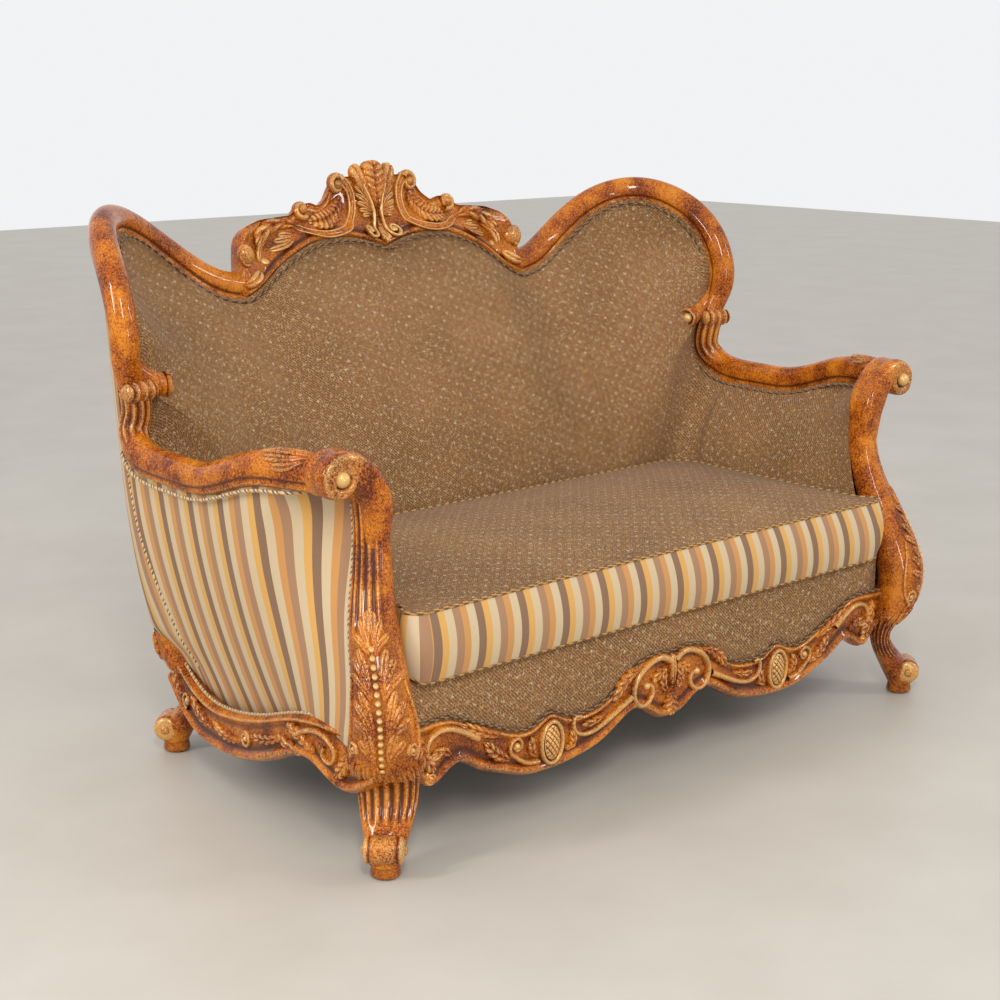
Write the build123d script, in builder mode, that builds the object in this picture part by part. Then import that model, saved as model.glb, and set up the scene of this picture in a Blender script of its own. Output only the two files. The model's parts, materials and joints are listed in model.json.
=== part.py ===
"""Rococo two-seat sofa with a carved show-wood frame and a loose boxed cushion.

Millimetres, +Z up, +X to the right of someone facing the sofa, front towards -Y.
The origin is on the floor under the middle of the sofa.
"""

import os
from math import cos, exp, radians, sin, sqrt

from build123d import *

# Feet and legs
FRONT_FOOT_X = 719.0
FRONT_FOOT_Y = -472.0
REAR_FOOT_X = 680.0
REAR_FOOT_Y = 276.0
GLIDE_RADIUS = 14.0
GLIDE_HEIGHT = 3.0
PAD_RADIUS = 27.0
PAD_HEIGHT = 24.0
TOE_RADIUS = 26.0
TOE_LENGTH = 74.0
TOE_REACH = 14.0
REAR_LEG_HEIGHT = 262.0

# Outer faces of the upholstered walls
BACK_Y = 327.3
BACK_RAKE = 0.22
SIDE_X = 725.0
SIDE_FLARE = 120.0
WALL_BASE_Z = 250.0
WALL_TOP_Z = 950.0
CORNER_BASE_RADIUS = 80.0
CORNER_TOP_RADIUS = 375.0
ARM_BOW = 32.0
ARM_BOW_START_Y = -65.0
ARM_BOW_LENGTH = 245.0
NECK_PULL = 55.0
NECK_Z = 565.0
NECK_REACH = 110.0
NECK_PULL_START_Y = -150.0
NECK_PULL_LENGTH = 228.0
PIVOT_X = 400.0
PIVOT_Y = 92.0

# Show-wood rails
RAIL_DEPTH = 54.0
RAIL_WIDTH = 62.0
RAIL_PROUD = 4.0
EAR_FOOT_Z = 770.0
EAR_FOOT_BEARING = 13.4
EAR_ROLL_RADIUS = 24.0
EAR_ROLL_LENGTH = 88.0
EAR_ROLL_FORWARD = 22.0
ARM_JOINT_Y = -350.0
ARM_END_Z = 691.0
CREST_END_Z = 901.0
CREST_THICKNESS = 52.0
CARTOUCHE_THICKNESS = 20.0
DOWEL_RADIUS = 5.0
DOWEL_LENGTH = 60.0
DOWEL_SPACING = 26.0
DOWEL_CLEARANCE = 0.1

# Arm scroll at the head of the front post
SCROLL_X = 752.0
SCROLL_Z = 691.0
SCROLL_RADIUS = 41.0
SCROLL_FRONT_Y = -418.0
NECK_TOP_Z = 640.0

# Aprons
APRON_THICKNESS = 35.0
FRONT_APRON_Y = -453.0
REAR_APRON_Y = 317.0

# Seat frame
RAIL_TOP_Z = 300.0
RAIL_BOTTOM_Z = 165.0
SEAT_RAIL_THICKNESS = 32.0
SIDE_RAIL_X = 628.0
CORNER_BLOCK_LEG = 110.0
CORNER_BLOCK_HEIGHT = 90.0
SCREW_RADIUS = 3.0
SCREW_LENGTH = 50.0
SCREW_INSET = 75.0
SCREW_RISE = 15.0
SCREW_CLEARANCE = 0.2
STRETCHER_WIDTH = 40.0
STRETCHER_HEIGHT = 100.0
STILE_WIDTH = 44.0
STILE_DEPTH = 30.0
STILE_X = 260.0
WEBBING_WIDTH = 50.0
WEBBING_PITCH = 104.0
CROSS_WEBBING_PITCH = 118.0
WEBBING_THICKNESS = 2.0
DUST_COVER_THICKNESS = 1.5

# Upholstery
COVER_THICKNESS = 8.0
COVER_BOTTOM_Z = 165.0
WALL_CAVITY = 22.0
PAD_BOTTOM_Z = 306.0
PAD_EDGE_DEPTH = 52.0
PAD_CROWN = 18.0
PAD_GAP = 3.0
SEAT_HALF_WIDTH = 642.0
SEAT_BACK_Y = 137.0
SEAT_CORNER_RADIUS = 70.0
SEAM_BEARING = 21.0
SEAM_Z = 655.0
PAD_SLACK = 3.0
DECK_TOP_Z = 330.0
DECK_SIDE_GAP = 12.0
DECK_BACK_GAP = 14.0
DECK_CORNER_RADIUS = 20.0
BORDER_SETBACK = 7.0
ARM_FRONT_Y = -455.0
ARM_FRONT_TILT = 0.17
WALL_CROWN = 2.0

# Loose seat cushion
CUSHION_GAP = 0.8
CUSHION_EDGE_Z = 452.0
CUSHION_CROWN = 26.0
CUSHION_FRONT_Y = -466.0
CUSHION_BACK_GAP = 9.0
CUSHION_SIDE_GAP = 14.0
CUSHION_EAR_REACH = 20.0
CUSHION_EAR_DEPTH = 36.0
CUSHION_EAR_RADIUS = 10.0
CUSHION_CORNER_RADIUS = 22.0
CUSHION_DRAW = 5.0
FABRIC_THICKNESS = 3.0
PIPING_RADIUS = 4.5
STITCH_GAP = 0.2

os.makedirs("parts", exist_ok=True)


def write(piece, name):
    """Labels a finished piece and writes it under its own name."""
    piece.label = name
    export_step(piece, f"parts/{name}.step")


def write_pair(right, name):
    """Writes a right-hand piece and its mirror image on the left."""
    with BuildPart() as left:
        mirror(right, about=Plane.YZ)
    write(right, f"{name}_right")
    write(left.part, f"{name}_left")


def wall_fraction(z):
    """1 at the foot of the wall and 0 from the ears upwards."""
    return max(0.0, (WALL_TOP_Z - z) / (WALL_TOP_Z - WALL_BASE_Z))


def back_face(z):
    """Y of the outside back, which leans backwards."""
    return BACK_Y + BACK_RAKE * (z - WALL_BASE_Z)


def side_face(y, z):
    """X of the outside arm: it flares upwards, bows in to the front and is drawn in at the neck."""
    flare = SIDE_X + SIDE_FLARE * (1 - wall_fraction(z) ** 2)
    rise = min(1.0, max(0.0, 1.4 * (1 - wall_fraction(z)) - 0.2))
    bow = ARM_BOW * rise * (max(0.0, ARM_BOW_START_Y - y) / ARM_BOW_LENGTH) ** 2
    waist = exp(-(((z - NECK_Z) / NECK_REACH) ** 2))
    pull = NECK_PULL * waist * (max(0.0, NECK_PULL_START_Y - y) / NECK_PULL_LENGTH) ** 2
    return flare - bow - pull


def corner_radius(z):
    """Plan radius of the wall's rear corner, tight at the leg and wide at the ear."""
    return CORNER_TOP_RADIUS - (CORNER_TOP_RADIUS - CORNER_BASE_RADIUS) * wall_fraction(z) ** 1.5


def rounded_reach(bearing, side, back, radius):
    """Distance from the pivot axis to a rounded corner, at a bearing from +X towards +Y."""
    ahead = cos(radians(bearing))
    across = sin(radians(bearing))
    centre_x = side - radius - PIVOT_X
    centre_y = back - radius - PIVOT_Y
    to_back = (back - PIVOT_Y) / max(across, 1e-9)
    to_side = (side - PIVOT_X) / max(ahead, 1e-9)
    if to_back * ahead <= centre_x:
        return to_back
    if to_side * across <= centre_y:
        return to_side
    along = centre_x * ahead + centre_y * across
    return along + sqrt(along**2 - centre_x**2 - centre_y**2 + radius**2)


class Station:
    """An upright plane across the wall; local x runs outwards and local y upwards."""

    def __init__(self, bearing, x=PIVOT_X, y=PIVOT_Y, tilt=0.0):
        self.bearing = bearing
        self.x = x
        self.y = y
        self.tilt = tilt
        outward = Vector(cos(radians(bearing)), sin(radians(bearing)), 0)
        lean = Vector(0, tilt, 1).normalized()
        self.plane = Plane(origin=(x, y, 0), x_dir=outward, z_dir=outward.cross(lean))

    def outer(self, z):
        """Distance out to the outside face of the wall."""
        if self.bearing == 0:
            return side_face(self.y + self.tilt * z, z) - self.x
        return rounded_reach(self.bearing, side_face(PIVOT_Y, z), back_face(z), corner_radius(z))

    def inner(self):
        """Distance out to the inside face of the pad at the seat."""
        return rounded_reach(self.bearing, SEAT_HALF_WIDTH, SEAT_BACK_Y, SEAT_CORNER_RADIUS)

    def local(self, reach, z):
        """Point in the station's plane from its distance out and its height."""
        return (reach, z * sqrt(1 + self.tilt**2))

    def world(self, reach, z):
        """Point in the sofa's frame from its distance out and its height."""
        return self.plane.from_local_coords(Vector(*self.local(reach, z), 0))


def rail_centre(station, z):
    """Centre of a show-wood rail on the top edge of the wall."""
    return station.world(station.outer(z) + RAIL_PROUD - RAIL_DEPTH / 2, z)


def rail_planes(route, first, last):
    """Planes across a rail, square to it and turned with the wall; its ends face first and last."""
    centres = [rail_centre(station, z) for station, z in route]
    planes = []
    for k, centre in enumerate(centres):
        along = centres[min(k + 1, len(centres) - 1)] - centres[max(k - 1, 0)]
        if k == 0:
            along = Vector(*first)
        if k == len(centres) - 1:
            along = Vector(*last)
        outward = route[k][0].plane.x_dir
        outward = outward - along * (outward.dot(along) / along.dot(along))
        planes.append(Plane(origin=centre, x_dir=outward, z_dir=along))
    return planes


# Routes of the rails: bearing round the rear corner and height, then depth along the arm
EAR_SHAPE = [(82, 913), (74, 945), (66, 990), (58, 1030), (50, 1054), (42, 1062), (34, 1053)]
EAR_SHAPE += [(26, 1028), (19, 990), (13.5, 935), (11, 870), (12, 815)]
ARM_FOOT_SHAPE = [(14.8, 725), (15, 690), (10, 656), (3, 642)]
ARM_SHAPE = [(20, 638), (-65, 640), (-150, 662), (-220, 683), (-290, 690)]
ear_foot = Station(EAR_FOOT_BEARING)
ear_route = [(Station(90), CREST_END_Z)]
ear_route += [(Station(bearing), z) for bearing, z in EAR_SHAPE]
ear_route += [(ear_foot, EAR_FOOT_Z)]
arm_route = [(ear_foot, EAR_FOOT_Z)]
arm_route += [(Station(bearing), z) for bearing, z in ARM_FOOT_SHAPE]
arm_route += [(Station(0, y=y), z) for y, z in ARM_SHAPE]
arm_route += [(Station(0, y=ARM_JOINT_Y), ARM_END_Z)]
ear_planes = rail_planes(ear_route, (1, 0, 0), (0, 0, -1))
arm_planes = rail_planes(arm_route, (0, 0, -1), (0, -1, 0))


def dowels(radius, length):
    """Dowels across the three joints of the right-hand rails, two to a joint."""
    for plane in (ear_planes[0], ear_planes[-1], arm_planes[-1]):
        with Locations(plane):
            with GridLocations(0, DOWEL_SPACING, 1, 2):
                Cylinder(radius, length)


with BuildPart() as dowels_right:
    dowels(DOWEL_RADIUS, DOWEL_LENGTH)

with BuildPart() as dowel_holes:
    dowels(DOWEL_RADIUS + DOWEL_CLEARANCE, DOWEL_LENGTH + 2 * DOWEL_CLEARANCE)
    mirror(about=Plane.YZ)

with BuildPart() as frame_dowels:
    add(dowels_right.part)
    mirror(about=Plane.YZ)
write(frame_dowels.part, "frame_dowels")

# Ear rail, with the roll that ends it above the arm
with BuildPart() as ear_rail:
    for plane in ear_planes:
        with BuildSketch(plane):
            Ellipse(RAIL_DEPTH / 2, RAIL_WIDTH / 2)
    loft()
    roll_centre = ear_planes[-1].origin + Vector(0, -EAR_ROLL_FORWARD, EAR_ROLL_RADIUS)
    with BuildSketch(Plane(origin=roll_centre, z_dir=ear_foot.plane.x_dir)):
        Circle(EAR_ROLL_RADIUS)
    extrude(amount=EAR_ROLL_LENGTH / 2, both=True)
    add(dowel_holes.part, mode=Mode.SUBTRACT)
write_pair(ear_rail.part, "ear_rail")

# Arm rail from the ear's foot to the front post
with BuildPart() as arm_rail:
    for plane in arm_planes:
        with BuildSketch(plane):
            Ellipse(RAIL_DEPTH / 2, RAIL_WIDTH / 2)
    loft()
    add(dowel_holes.part, mode=Mode.SUBTRACT)
write_pair(arm_rail.part, "arm_rail")

# Crest rail: a board in the raked plane of the back, cut to the carved outline
rake = Vector(0, BACK_RAKE, 1).normalized()
crest_centre = Vector(0, ear_planes[0].origin.Y, CREST_END_Z)
crest_plane = Plane(origin=crest_centre, x_dir=(1, 0, 0), z_dir=Vector(1, 0, 0).cross(rake))
CREST_TOP = [(396, 62), (378, 108), (320, 132), (240, 146), (190, 164), (135, 170)]
CREST_TOP += [(112, 214), (60, 238), (0, 249)]
CREST_FOOT = [(0, 56), (50, 68), (100, 82), (165, 84), (230, 68), (290, 40), (345, 2), (385, -24)]
with BuildPart() as crest_rail:
    with BuildSketch(crest_plane):
        with BuildLine():
            ends = [(PIVOT_X, RAIL_WIDTH / 2), (PIVOT_X, -RAIL_WIDTH / 2)]
            Spline(ends[0], *CREST_TOP)
            Line(ends[0], ends[1])
            Spline(*CREST_FOOT, ends[1])
            Line(CREST_FOOT[0], CREST_TOP[-1])
        make_face()
        mirror(about=Plane.YZ)
    extrude(amount=CREST_THICKNESS / 2, both=True)
    add(dowel_holes.part, mode=Mode.SUBTRACT)
write(crest_rail.part, "crest_rail")

# Palmette glued to the front of the crest
PALMETTE = [(0, 78), (52, 92), (44, 150), (70, 196), (46, 232), (0, 244)]
with BuildPart() as crest_cartouche:
    with BuildSketch(crest_plane.offset(CREST_THICKNESS / 2)):
        with BuildLine():
            Spline(*PALMETTE)
            Line(PALMETTE[-1], PALMETTE[0])
        make_face()
        mirror(about=Plane.YZ)
    extrude(amount=CARTOUCHE_THICKNESS)
    front_edges = crest_cartouche.faces().sort_by(Axis.Y)[0].edges()
    chamfer(front_edges, CARTOUCHE_THICKNESS / 3)
write(crest_cartouche.part, "crest_cartouche")

# Cabriole leg: height, set-back along the diagonal, width across it and depth along it
LEG_SHAPE = [(22, 2, 56, 54), (69, -17, 74, 64), (115, -44, 85, 46), (150, -46, 95, 49)]
LEG_SHAPE += [(196, -26, 109, 82), (242, -14, 110, 92), (274, -13, 108, 97)]
# Post above the knee: height, centre from the foot, width and depth
POST_SHAPE = [(346, -15, 27, 98, 96), (435, -30, 63, 84, 82), (524, -48, 88, 68, 66), (601, -51, 94, 62, 59)]
POST_SHAPE += [(NECK_TOP_Z + 10, -47, 94, 62, 59)]


def leg_sections(foot_x, foot_y, way):
    """Height, centre, width and depth of each leg section; way is -1 for a front leg, 1 for a rear one."""
    for z, out, width, depth in LEG_SHAPE:
        step = out * sqrt(0.5)
        yield z, foot_x + step, foot_y + way * step, width, depth


def leg_foot(foot_x, foot_y, way):
    """Adds the rolled toe and the turned pad under it."""
    with Locations((foot_x, foot_y, GLIDE_HEIGHT)):
        Cylinder(PAD_RADIUS, PAD_HEIGHT, align=(Align.CENTER, Align.CENTER, Align.MIN))
    step = TOE_REACH * sqrt(0.5)
    toe = (foot_x + step, foot_y + way * step, GLIDE_HEIGHT + PAD_HEIGHT + TOE_RADIUS)
    with Locations(Plane(origin=toe, z_dir=(1, -way, 0))):
        Cylinder(TOE_RADIUS, TOE_LENGTH)


with BuildPart() as front_post:
    for z, x, y, width, depth in leg_sections(FRONT_FOOT_X, FRONT_FOOT_Y, -1):
        with BuildSketch(Plane.XY.offset(z)):
            with Locations((x, y)):
                Ellipse(width / 2, depth / 2, rotation=45)
    for z, out_x, out_y, width, depth in POST_SHAPE:
        with BuildSketch(Plane.XY.offset(z)):
            with Locations((FRONT_FOOT_X + out_x, FRONT_FOOT_Y + out_y)):
                Ellipse(width / 2, depth / 2, rotation=45)
    loft()
    leg_foot(FRONT_FOOT_X, FRONT_FOOT_Y, -1)
    neck_x = FRONT_FOOT_X + POST_SHAPE[-1][1]
    neck_half = POST_SHAPE[-1][3] / 2
    with BuildSketch(Plane.XZ.offset(-ARM_JOINT_Y)):
        with BuildLine():
            top = (SCROLL_X, SCROLL_Z + SCROLL_RADIUS)
            foot = (neck_x - neck_half, NECK_TOP_Z)
            root = (neck_x + neck_half, NECK_TOP_Z)
            Spline(foot, top, tangents=[(0, 1), (1, 0)])
            Line(top, (SCROLL_X, SCROLL_Z))
            Line((SCROLL_X, SCROLL_Z), root)
            Line(root, foot)
        make_face()
        with Locations((SCROLL_X, SCROLL_Z)):
            Circle(SCROLL_RADIUS)
    extrude(amount=ARM_JOINT_Y - SCROLL_FRONT_Y)
    add(dowel_holes.part, mode=Mode.SUBTRACT)
write_pair(front_post.part, "front_post")

with BuildPart() as rear_leg:
    for z, x, y, width, depth in leg_sections(REAR_FOOT_X, REAR_FOOT_Y, 1):
        with BuildSketch(Plane.XY.offset(z)):
            with Locations((x, y)):
                Ellipse(width / 2, depth / 2, rotation=-45)
    loft()
    split(bisect_by=Plane.XY.offset(REAR_LEG_HEIGHT), keep=Keep.BOTTOM)
    leg_foot(REAR_FOOT_X, REAR_FOOT_Y, 1)
write_pair(rear_leg.part, "rear_leg")

with BuildPart() as legs:
    add(front_post.part)
    add(rear_leg.part)
    mirror(about=Plane.YZ)

with BuildPart() as foot_glides:
    for foot_x, foot_y in ((FRONT_FOOT_X, FRONT_FOOT_Y), (REAR_FOOT_X, REAR_FOOT_Y)):
        with Locations((foot_x, foot_y), (-foot_x, foot_y)):
            Cylinder(GLIDE_RADIUS, GLIDE_HEIGHT, align=(Align.CENTER, Align.CENTER, Align.MIN))
write(foot_glides.part, "foot_glides")

# Aprons: half outlines from the middle outwards, as distance from the middle and height
FRONT_TOP = [(0, 242), (62, 243), (140, 204), (245, 171), (318, 192), (385, 172), (470, 203), (560, 237)]
FRONT_TOP += [(FRONT_FOOT_X, 240)]
FRONT_FOOT = [(0, 107), (95, 143), (200, 101), (320, 79), (440, 106), (545, 150), (602, 123), (650, 150)]
FRONT_FOOT += [(FRONT_FOOT_X, 150)]
SIDE_TOP = [(-440, 240), (-330, 241), (-240, 230), (-140, 198), (-20, 168), (90, 162), (170, 182), (255, 225)]
SIDE_FOOT = [(-440, 148), (-372, 128), (-290, 156), (-190, 132), (-60, 88), (60, 76), (150, 86), (255, 150)]
SIDE_APRON_PLAN = [(733, -440), (739, -110), (696, 255)]
REAR_TOP = [(0, 205), (300, 190), (640, 225)]
REAR_FOOT = [(0, 120), (300, 90), (640, 150)]


with BuildPart() as front_apron:
    with BuildSketch(Plane.XZ.offset(-FRONT_APRON_Y)):
        with BuildLine():
            apron_top = Spline(*FRONT_TOP)
            apron_foot = Spline(*FRONT_FOOT)
            Line(apron_top @ 0, apron_foot @ 0)
            Line(apron_top @ 1, apron_foot @ 1)
        make_face()
        mirror(about=Plane.YZ)
    extrude(amount=-APRON_THICKNESS)
    add(legs.part, mode=Mode.SUBTRACT)
    board = front_apron.solids().sort_by(SortBy.VOLUME)[-1]
    add(board, mode=Mode.REPLACE)
write(front_apron.part, "front_apron")

with BuildPart() as rear_apron:
    with BuildSketch(Plane.XZ.offset(-REAR_APRON_Y)):
        with BuildLine():
            apron_top = Spline(*REAR_TOP)
            apron_foot = Spline(*REAR_FOOT)
            Line(apron_top @ 0, apron_foot @ 0)
            Line(apron_top @ 1, apron_foot @ 1)
        make_face()
        mirror(about=Plane.YZ)
    extrude(amount=APRON_THICKNESS)
    add(legs.part, mode=Mode.SUBTRACT)
write(rear_apron.part, "rear_apron")

with BuildPart() as side_apron:
    with BuildSketch():
        with BuildLine():
            outer_bend = ThreePointArc(*SIDE_APRON_PLAN)
            inner_bend = ThreePointArc(*[(x - APRON_THICKNESS, y) for x, y in SIDE_APRON_PLAN])
            Line(outer_bend @ 0, inner_bend @ 0)
            Line(outer_bend @ 1, inner_bend @ 1)
        make_face()
    extrude(amount=WALL_BASE_Z)
    with BuildSketch(Plane.YZ):
        with BuildLine():
            apron_top = Spline(*SIDE_TOP)
            apron_foot = Spline(*SIDE_FOOT)
            Line(apron_top @ 0, apron_foot @ 0)
            Line(apron_top @ 1, apron_foot @ 1)
        make_face()
    extrude(amount=2 * SIDE_X, mode=Mode.INTERSECT)
    add(legs.part, mode=Mode.SUBTRACT)
    board = side_apron.solids().sort_by(SortBy.VOLUME)[-1]
    add(board, mode=Mode.REPLACE)
write_pair(side_apron.part, "side_apron")

# Seat frame: four rails, a stretcher, corner blocks and their screws
rail_height = RAIL_TOP_Z - RAIL_BOTTOM_Z
front_rail_y = FRONT_APRON_Y + APRON_THICKNESS
side_rail_y = front_rail_y + SEAT_RAIL_THICKNESS
rear_rail_y = REAR_APRON_Y - APRON_THICKNESS - SEAT_RAIL_THICKNESS
frame_half_width = SIDE_RAIL_X + SEAT_RAIL_THICKNESS
frame_depth = rear_rail_y + SEAT_RAIL_THICKNESS - front_rail_y
from_corner = (Align.MIN, Align.MIN, Align.MIN)
from_middle = (Align.CENTER, Align.MIN, Align.MIN)
on_plane = (Align.CENTER, Align.CENTER, Align.MIN)
corners = ((side_rail_y, 1), (rear_rail_y, -1))


def corner_screws(radius):
    """Two screws through each right-hand corner block, one into each rail, at different heights."""
    mid_z = (RAIL_TOP_Z + RAIL_BOTTOM_Z) / 2
    for corner_y, way in corners:
        into_side = (SIDE_RAIL_X, corner_y + way * SCREW_INSET, mid_z + SCREW_RISE)
        into_end = (SIDE_RAIL_X - SCREW_INSET, corner_y, mid_z - SCREW_RISE)
        with Locations(Plane(origin=into_side, z_dir=(1, 0, 0)), Plane(origin=into_end, z_dir=(0, 1, 0))):
            Cylinder(radius, SCREW_LENGTH)


with BuildPart() as screw_holes:
    corner_screws(SCREW_RADIUS + SCREW_CLEARANCE)
    mirror(about=Plane.YZ)

with BuildPart() as screws:
    corner_screws(SCREW_RADIUS)
    mirror(about=Plane.YZ)
write(screws.part, "corner_screws")

with BuildPart() as corner_blocks:
    for corner_y, way in corners:
        with BuildSketch(Plane.XY.offset((RAIL_TOP_Z + RAIL_BOTTOM_Z - CORNER_BLOCK_HEIGHT) / 2)):
            with BuildLine():
                Polyline(
                    (SIDE_RAIL_X, corner_y),
                    (SIDE_RAIL_X - CORNER_BLOCK_LEG, corner_y),
                    (SIDE_RAIL_X, corner_y + way * CORNER_BLOCK_LEG),
                    close=True,
                )
            make_face()
        extrude(amount=CORNER_BLOCK_HEIGHT)
    mirror(about=Plane.YZ)
    add(legs.part, mode=Mode.SUBTRACT)
    add(screw_holes.part, mode=Mode.SUBTRACT)
write(corner_blocks.part, "corner_blocks")

with BuildPart() as front_seat_rail:
    with Locations((0, front_rail_y, RAIL_BOTTOM_Z)):
        Box(2 * frame_half_width, SEAT_RAIL_THICKNESS, rail_height, align=from_middle)
    add(legs.part, mode=Mode.SUBTRACT)
    add(screw_holes.part, mode=Mode.SUBTRACT)
write(front_seat_rail.part, "front_seat_rail")

with BuildPart() as rear_seat_rail:
    with Locations((0, rear_rail_y, RAIL_BOTTOM_Z)):
        Box(2 * SIDE_RAIL_X, SEAT_RAIL_THICKNESS, rail_height, align=from_middle)
    add(legs.part, mode=Mode.SUBTRACT)
    add(screw_holes.part, mode=Mode.SUBTRACT)
write(rear_seat_rail.part, "rear_seat_rail")

with BuildPart() as side_seat_rail:
    with Locations((SIDE_RAIL_X, side_rail_y, RAIL_BOTTOM_Z)):
        Box(SEAT_RAIL_THICKNESS, frame_depth - SEAT_RAIL_THICKNESS, rail_height, align=from_corner)
    add(legs.part, mode=Mode.SUBTRACT)
    add(screw_holes.part, mode=Mode.SUBTRACT)
    timber = side_seat_rail.solids().sort_by(SortBy.VOLUME)[-1]
    add(timber, mode=Mode.REPLACE)
write_pair(side_seat_rail.part, "side_seat_rail")

with BuildPart() as seat_stretcher:
    with Locations((0, side_rail_y, RAIL_BOTTOM_Z)):
        Box(STRETCHER_WIDTH, rear_rail_y - side_rail_y, STRETCHER_HEIGHT, align=from_middle)
write(seat_stretcher.part, "seat_stretcher")

with BuildPart() as dust_cover:
    with Locations((0, front_rail_y, RAIL_BOTTOM_Z - DUST_COVER_THICKNESS)):
        Box(2 * frame_half_width, frame_depth, DUST_COVER_THICKNESS, align=from_middle)
    add(legs.part, mode=Mode.SUBTRACT)
    cloth = dust_cover.solids().sort_by(SortBy.VOLUME)[-1]
    add(cloth, mode=Mode.REPLACE)
write(dust_cover.part, "dust_cover")

# Webbing: straps across the frame, and straps over them from front to back
with BuildPart() as seat_webbing:
    mid_y = front_rail_y + frame_depth / 2
    with Locations((0, mid_y, RAIL_TOP_Z)):
        with GridLocations(0, CROSS_WEBBING_PITCH, 1, 5):
            Box(2 * frame_half_width, WEBBING_WIDTH, WEBBING_THICKNESS, align=on_plane)
    with Locations((0, mid_y, RAIL_TOP_Z + WEBBING_THICKNESS)):
        with GridLocations(WEBBING_PITCH, 0, 9, 1):
            Box(WEBBING_WIDTH, frame_depth, WEBBING_THICKNESS, align=on_plane)
write(seat_webbing.part, "seat_webbing")

# Hidden stiles that carry the crest and the ears
with BuildPart() as back_stile:
    stile_foot_y = rear_rail_y + SEAT_RAIL_THICKNESS / 2
    with BuildSketch(Plane.XY.offset(RAIL_TOP_Z)):
        with Locations((STILE_X, stile_foot_y)):
            Rectangle(STILE_WIDTH, STILE_DEPTH)
    with BuildSketch(Plane.XY.offset(CREST_END_Z + RAIL_WIDTH)):
        with Locations((STILE_X, crest_centre.Y + BACK_RAKE * RAIL_WIDTH)):
            Rectangle(STILE_WIDTH, STILE_DEPTH)
    loft()
    add(crest_rail.part, mode=Mode.SUBTRACT)
    timber = back_stile.solids().sort_by(SortBy.VOLUME)[-1]
    add(timber, mode=Mode.REPLACE)
write_pair(back_stile.part, "back_stile")

with BuildPart() as wing_stile:
    wing_head = arm_planes[4].origin
    with BuildSketch(Plane.XY.offset(RAIL_TOP_Z)):
        with Locations((SIDE_RAIL_X + SEAT_RAIL_THICKNESS / 2, wing_head.Y)):
            Rectangle(STILE_DEPTH, STILE_WIDTH)
    with BuildSketch(Plane.XY.offset(wing_head.Z)):
        with Locations((wing_head.X, wing_head.Y)):
            Rectangle(STILE_DEPTH, STILE_WIDTH)
    loft()
    add(arm_rail.part, mode=Mode.SUBTRACT)
    timber = wing_stile.solids().sort_by(SortBy.VOLUME)[-1]
    add(timber, mode=Mode.REPLACE)
write_pair(wing_stile.part, "wing_stile")

# Everything that the upholstery is fitted round
with BuildPart() as show_rails:
    add(ear_rail.part)
    add(arm_rail.part)
    mirror(about=Plane.YZ)
    add(crest_rail.part)
    add(dowel_holes.part)

with BuildPart() as stiles:
    add(back_stile.part)
    add(wing_stile.part)
    mirror(about=Plane.YZ)

with BuildPart() as aprons:
    add(side_apron.part)
    mirror(about=Plane.YZ)
    add(front_apron.part)
    add(rear_apron.part)

# Upholstered walls: stations across the back, round the ear and along the arm, with the wall's top there
slope = sqrt(1 + BACK_RAKE**2)
back_stations = [(Station(90, x=x), CREST_END_Z + rise / slope - PAD_GAP) for x, rise in CREST_FOOT]
under_rail = RAIL_WIDTH / 2 + PAD_GAP
ear_stations = [(Station(90), CREST_END_Z - under_rail)]
for k in range(1, len(EAR_SHAPE) - 3):
    (last_bearing, last_z), (next_bearing, next_z) = EAR_SHAPE[k - 1], EAR_SHAPE[k + 1]
    bearing, z = EAR_SHAPE[k]
    run = radians(last_bearing - next_bearing) * Station(bearing).outer(z)
    pitch = (next_z - last_z) / run
    ear_stations.append((Station(bearing), z - under_rail * sqrt(1 + pitch**2)))
ear_edge = [(Station(SEAM_BEARING + 1.5), EAR_FOOT_Z + 2 * RAIL_WIDTH), (Station(SEAM_BEARING), SEAM_Z)]
arm_stations = [(Station(SEAM_BEARING), SEAM_Z)]
arm_stations += [(Station(bearing), z - under_rail - PAD_SLACK) for bearing, z in ARM_FOOT_SHAPE[2:]]
arm_stations += [(Station(0, y=y), z - under_rail - PAD_SLACK) for y, z in ARM_SHAPE[:-1]]
arm_front = (Station(0, y=ARM_FRONT_Y, tilt=ARM_FRONT_TILT), NECK_TOP_Z - PAD_SLACK)


def pad_inside(station, top):
    """Inside of a pad's section: upright at the seat, then a crowned rise to the rail."""
    seat = station.inner()
    edge = station.outer(top) - PAD_EDGE_DEPTH
    mid_z = (CUSHION_EDGE_Z + top) / 2
    return [
        station.local(seat, PAD_BOTTOM_Z),
        station.local(seat, CUSHION_EDGE_Z),
        station.local((seat + edge) / 2 - PAD_CROWN, mid_z),
        station.local(edge, top),
    ]


def wall_arc(station, foot, top, inset):
    """Foot, middle and head of a line up the wall, inset from its outer face and slightly crowned."""
    mid_z = (foot + top) / 2
    return [
        station.local(station.outer(foot) - inset, foot),
        station.local(station.outer(mid_z) + WALL_CROWN - inset, mid_z),
        station.local(station.outer(top) - inset, top),
    ]


with BuildPart() as inside_back_pad:
    for station, top in back_stations + ear_stations + ear_edge:
        foot, seat, bulge, edge = pad_inside(station, top)
        with BuildSketch(station.plane):
            with BuildLine():
                Line(foot, seat)
                ThreePointArc(seat, bulge, edge)
                rear = ThreePointArc(*wall_arc(station, PAD_BOTTOM_Z, top, WALL_CAVITY))
                Line(edge, rear @ 1)
                Line(rear @ 0, foot)
            make_face()
    loft(ruled=True)
    mirror(about=Plane.YZ)
    add(stiles.part, mode=Mode.SUBTRACT)
    add(show_rails.part, mode=Mode.SUBTRACT)
    pad = inside_back_pad.solids().sort_by(SortBy.VOLUME)[-1]
    add(pad, mode=Mode.REPLACE)
write(inside_back_pad.part, "inside_back_pad")

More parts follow.
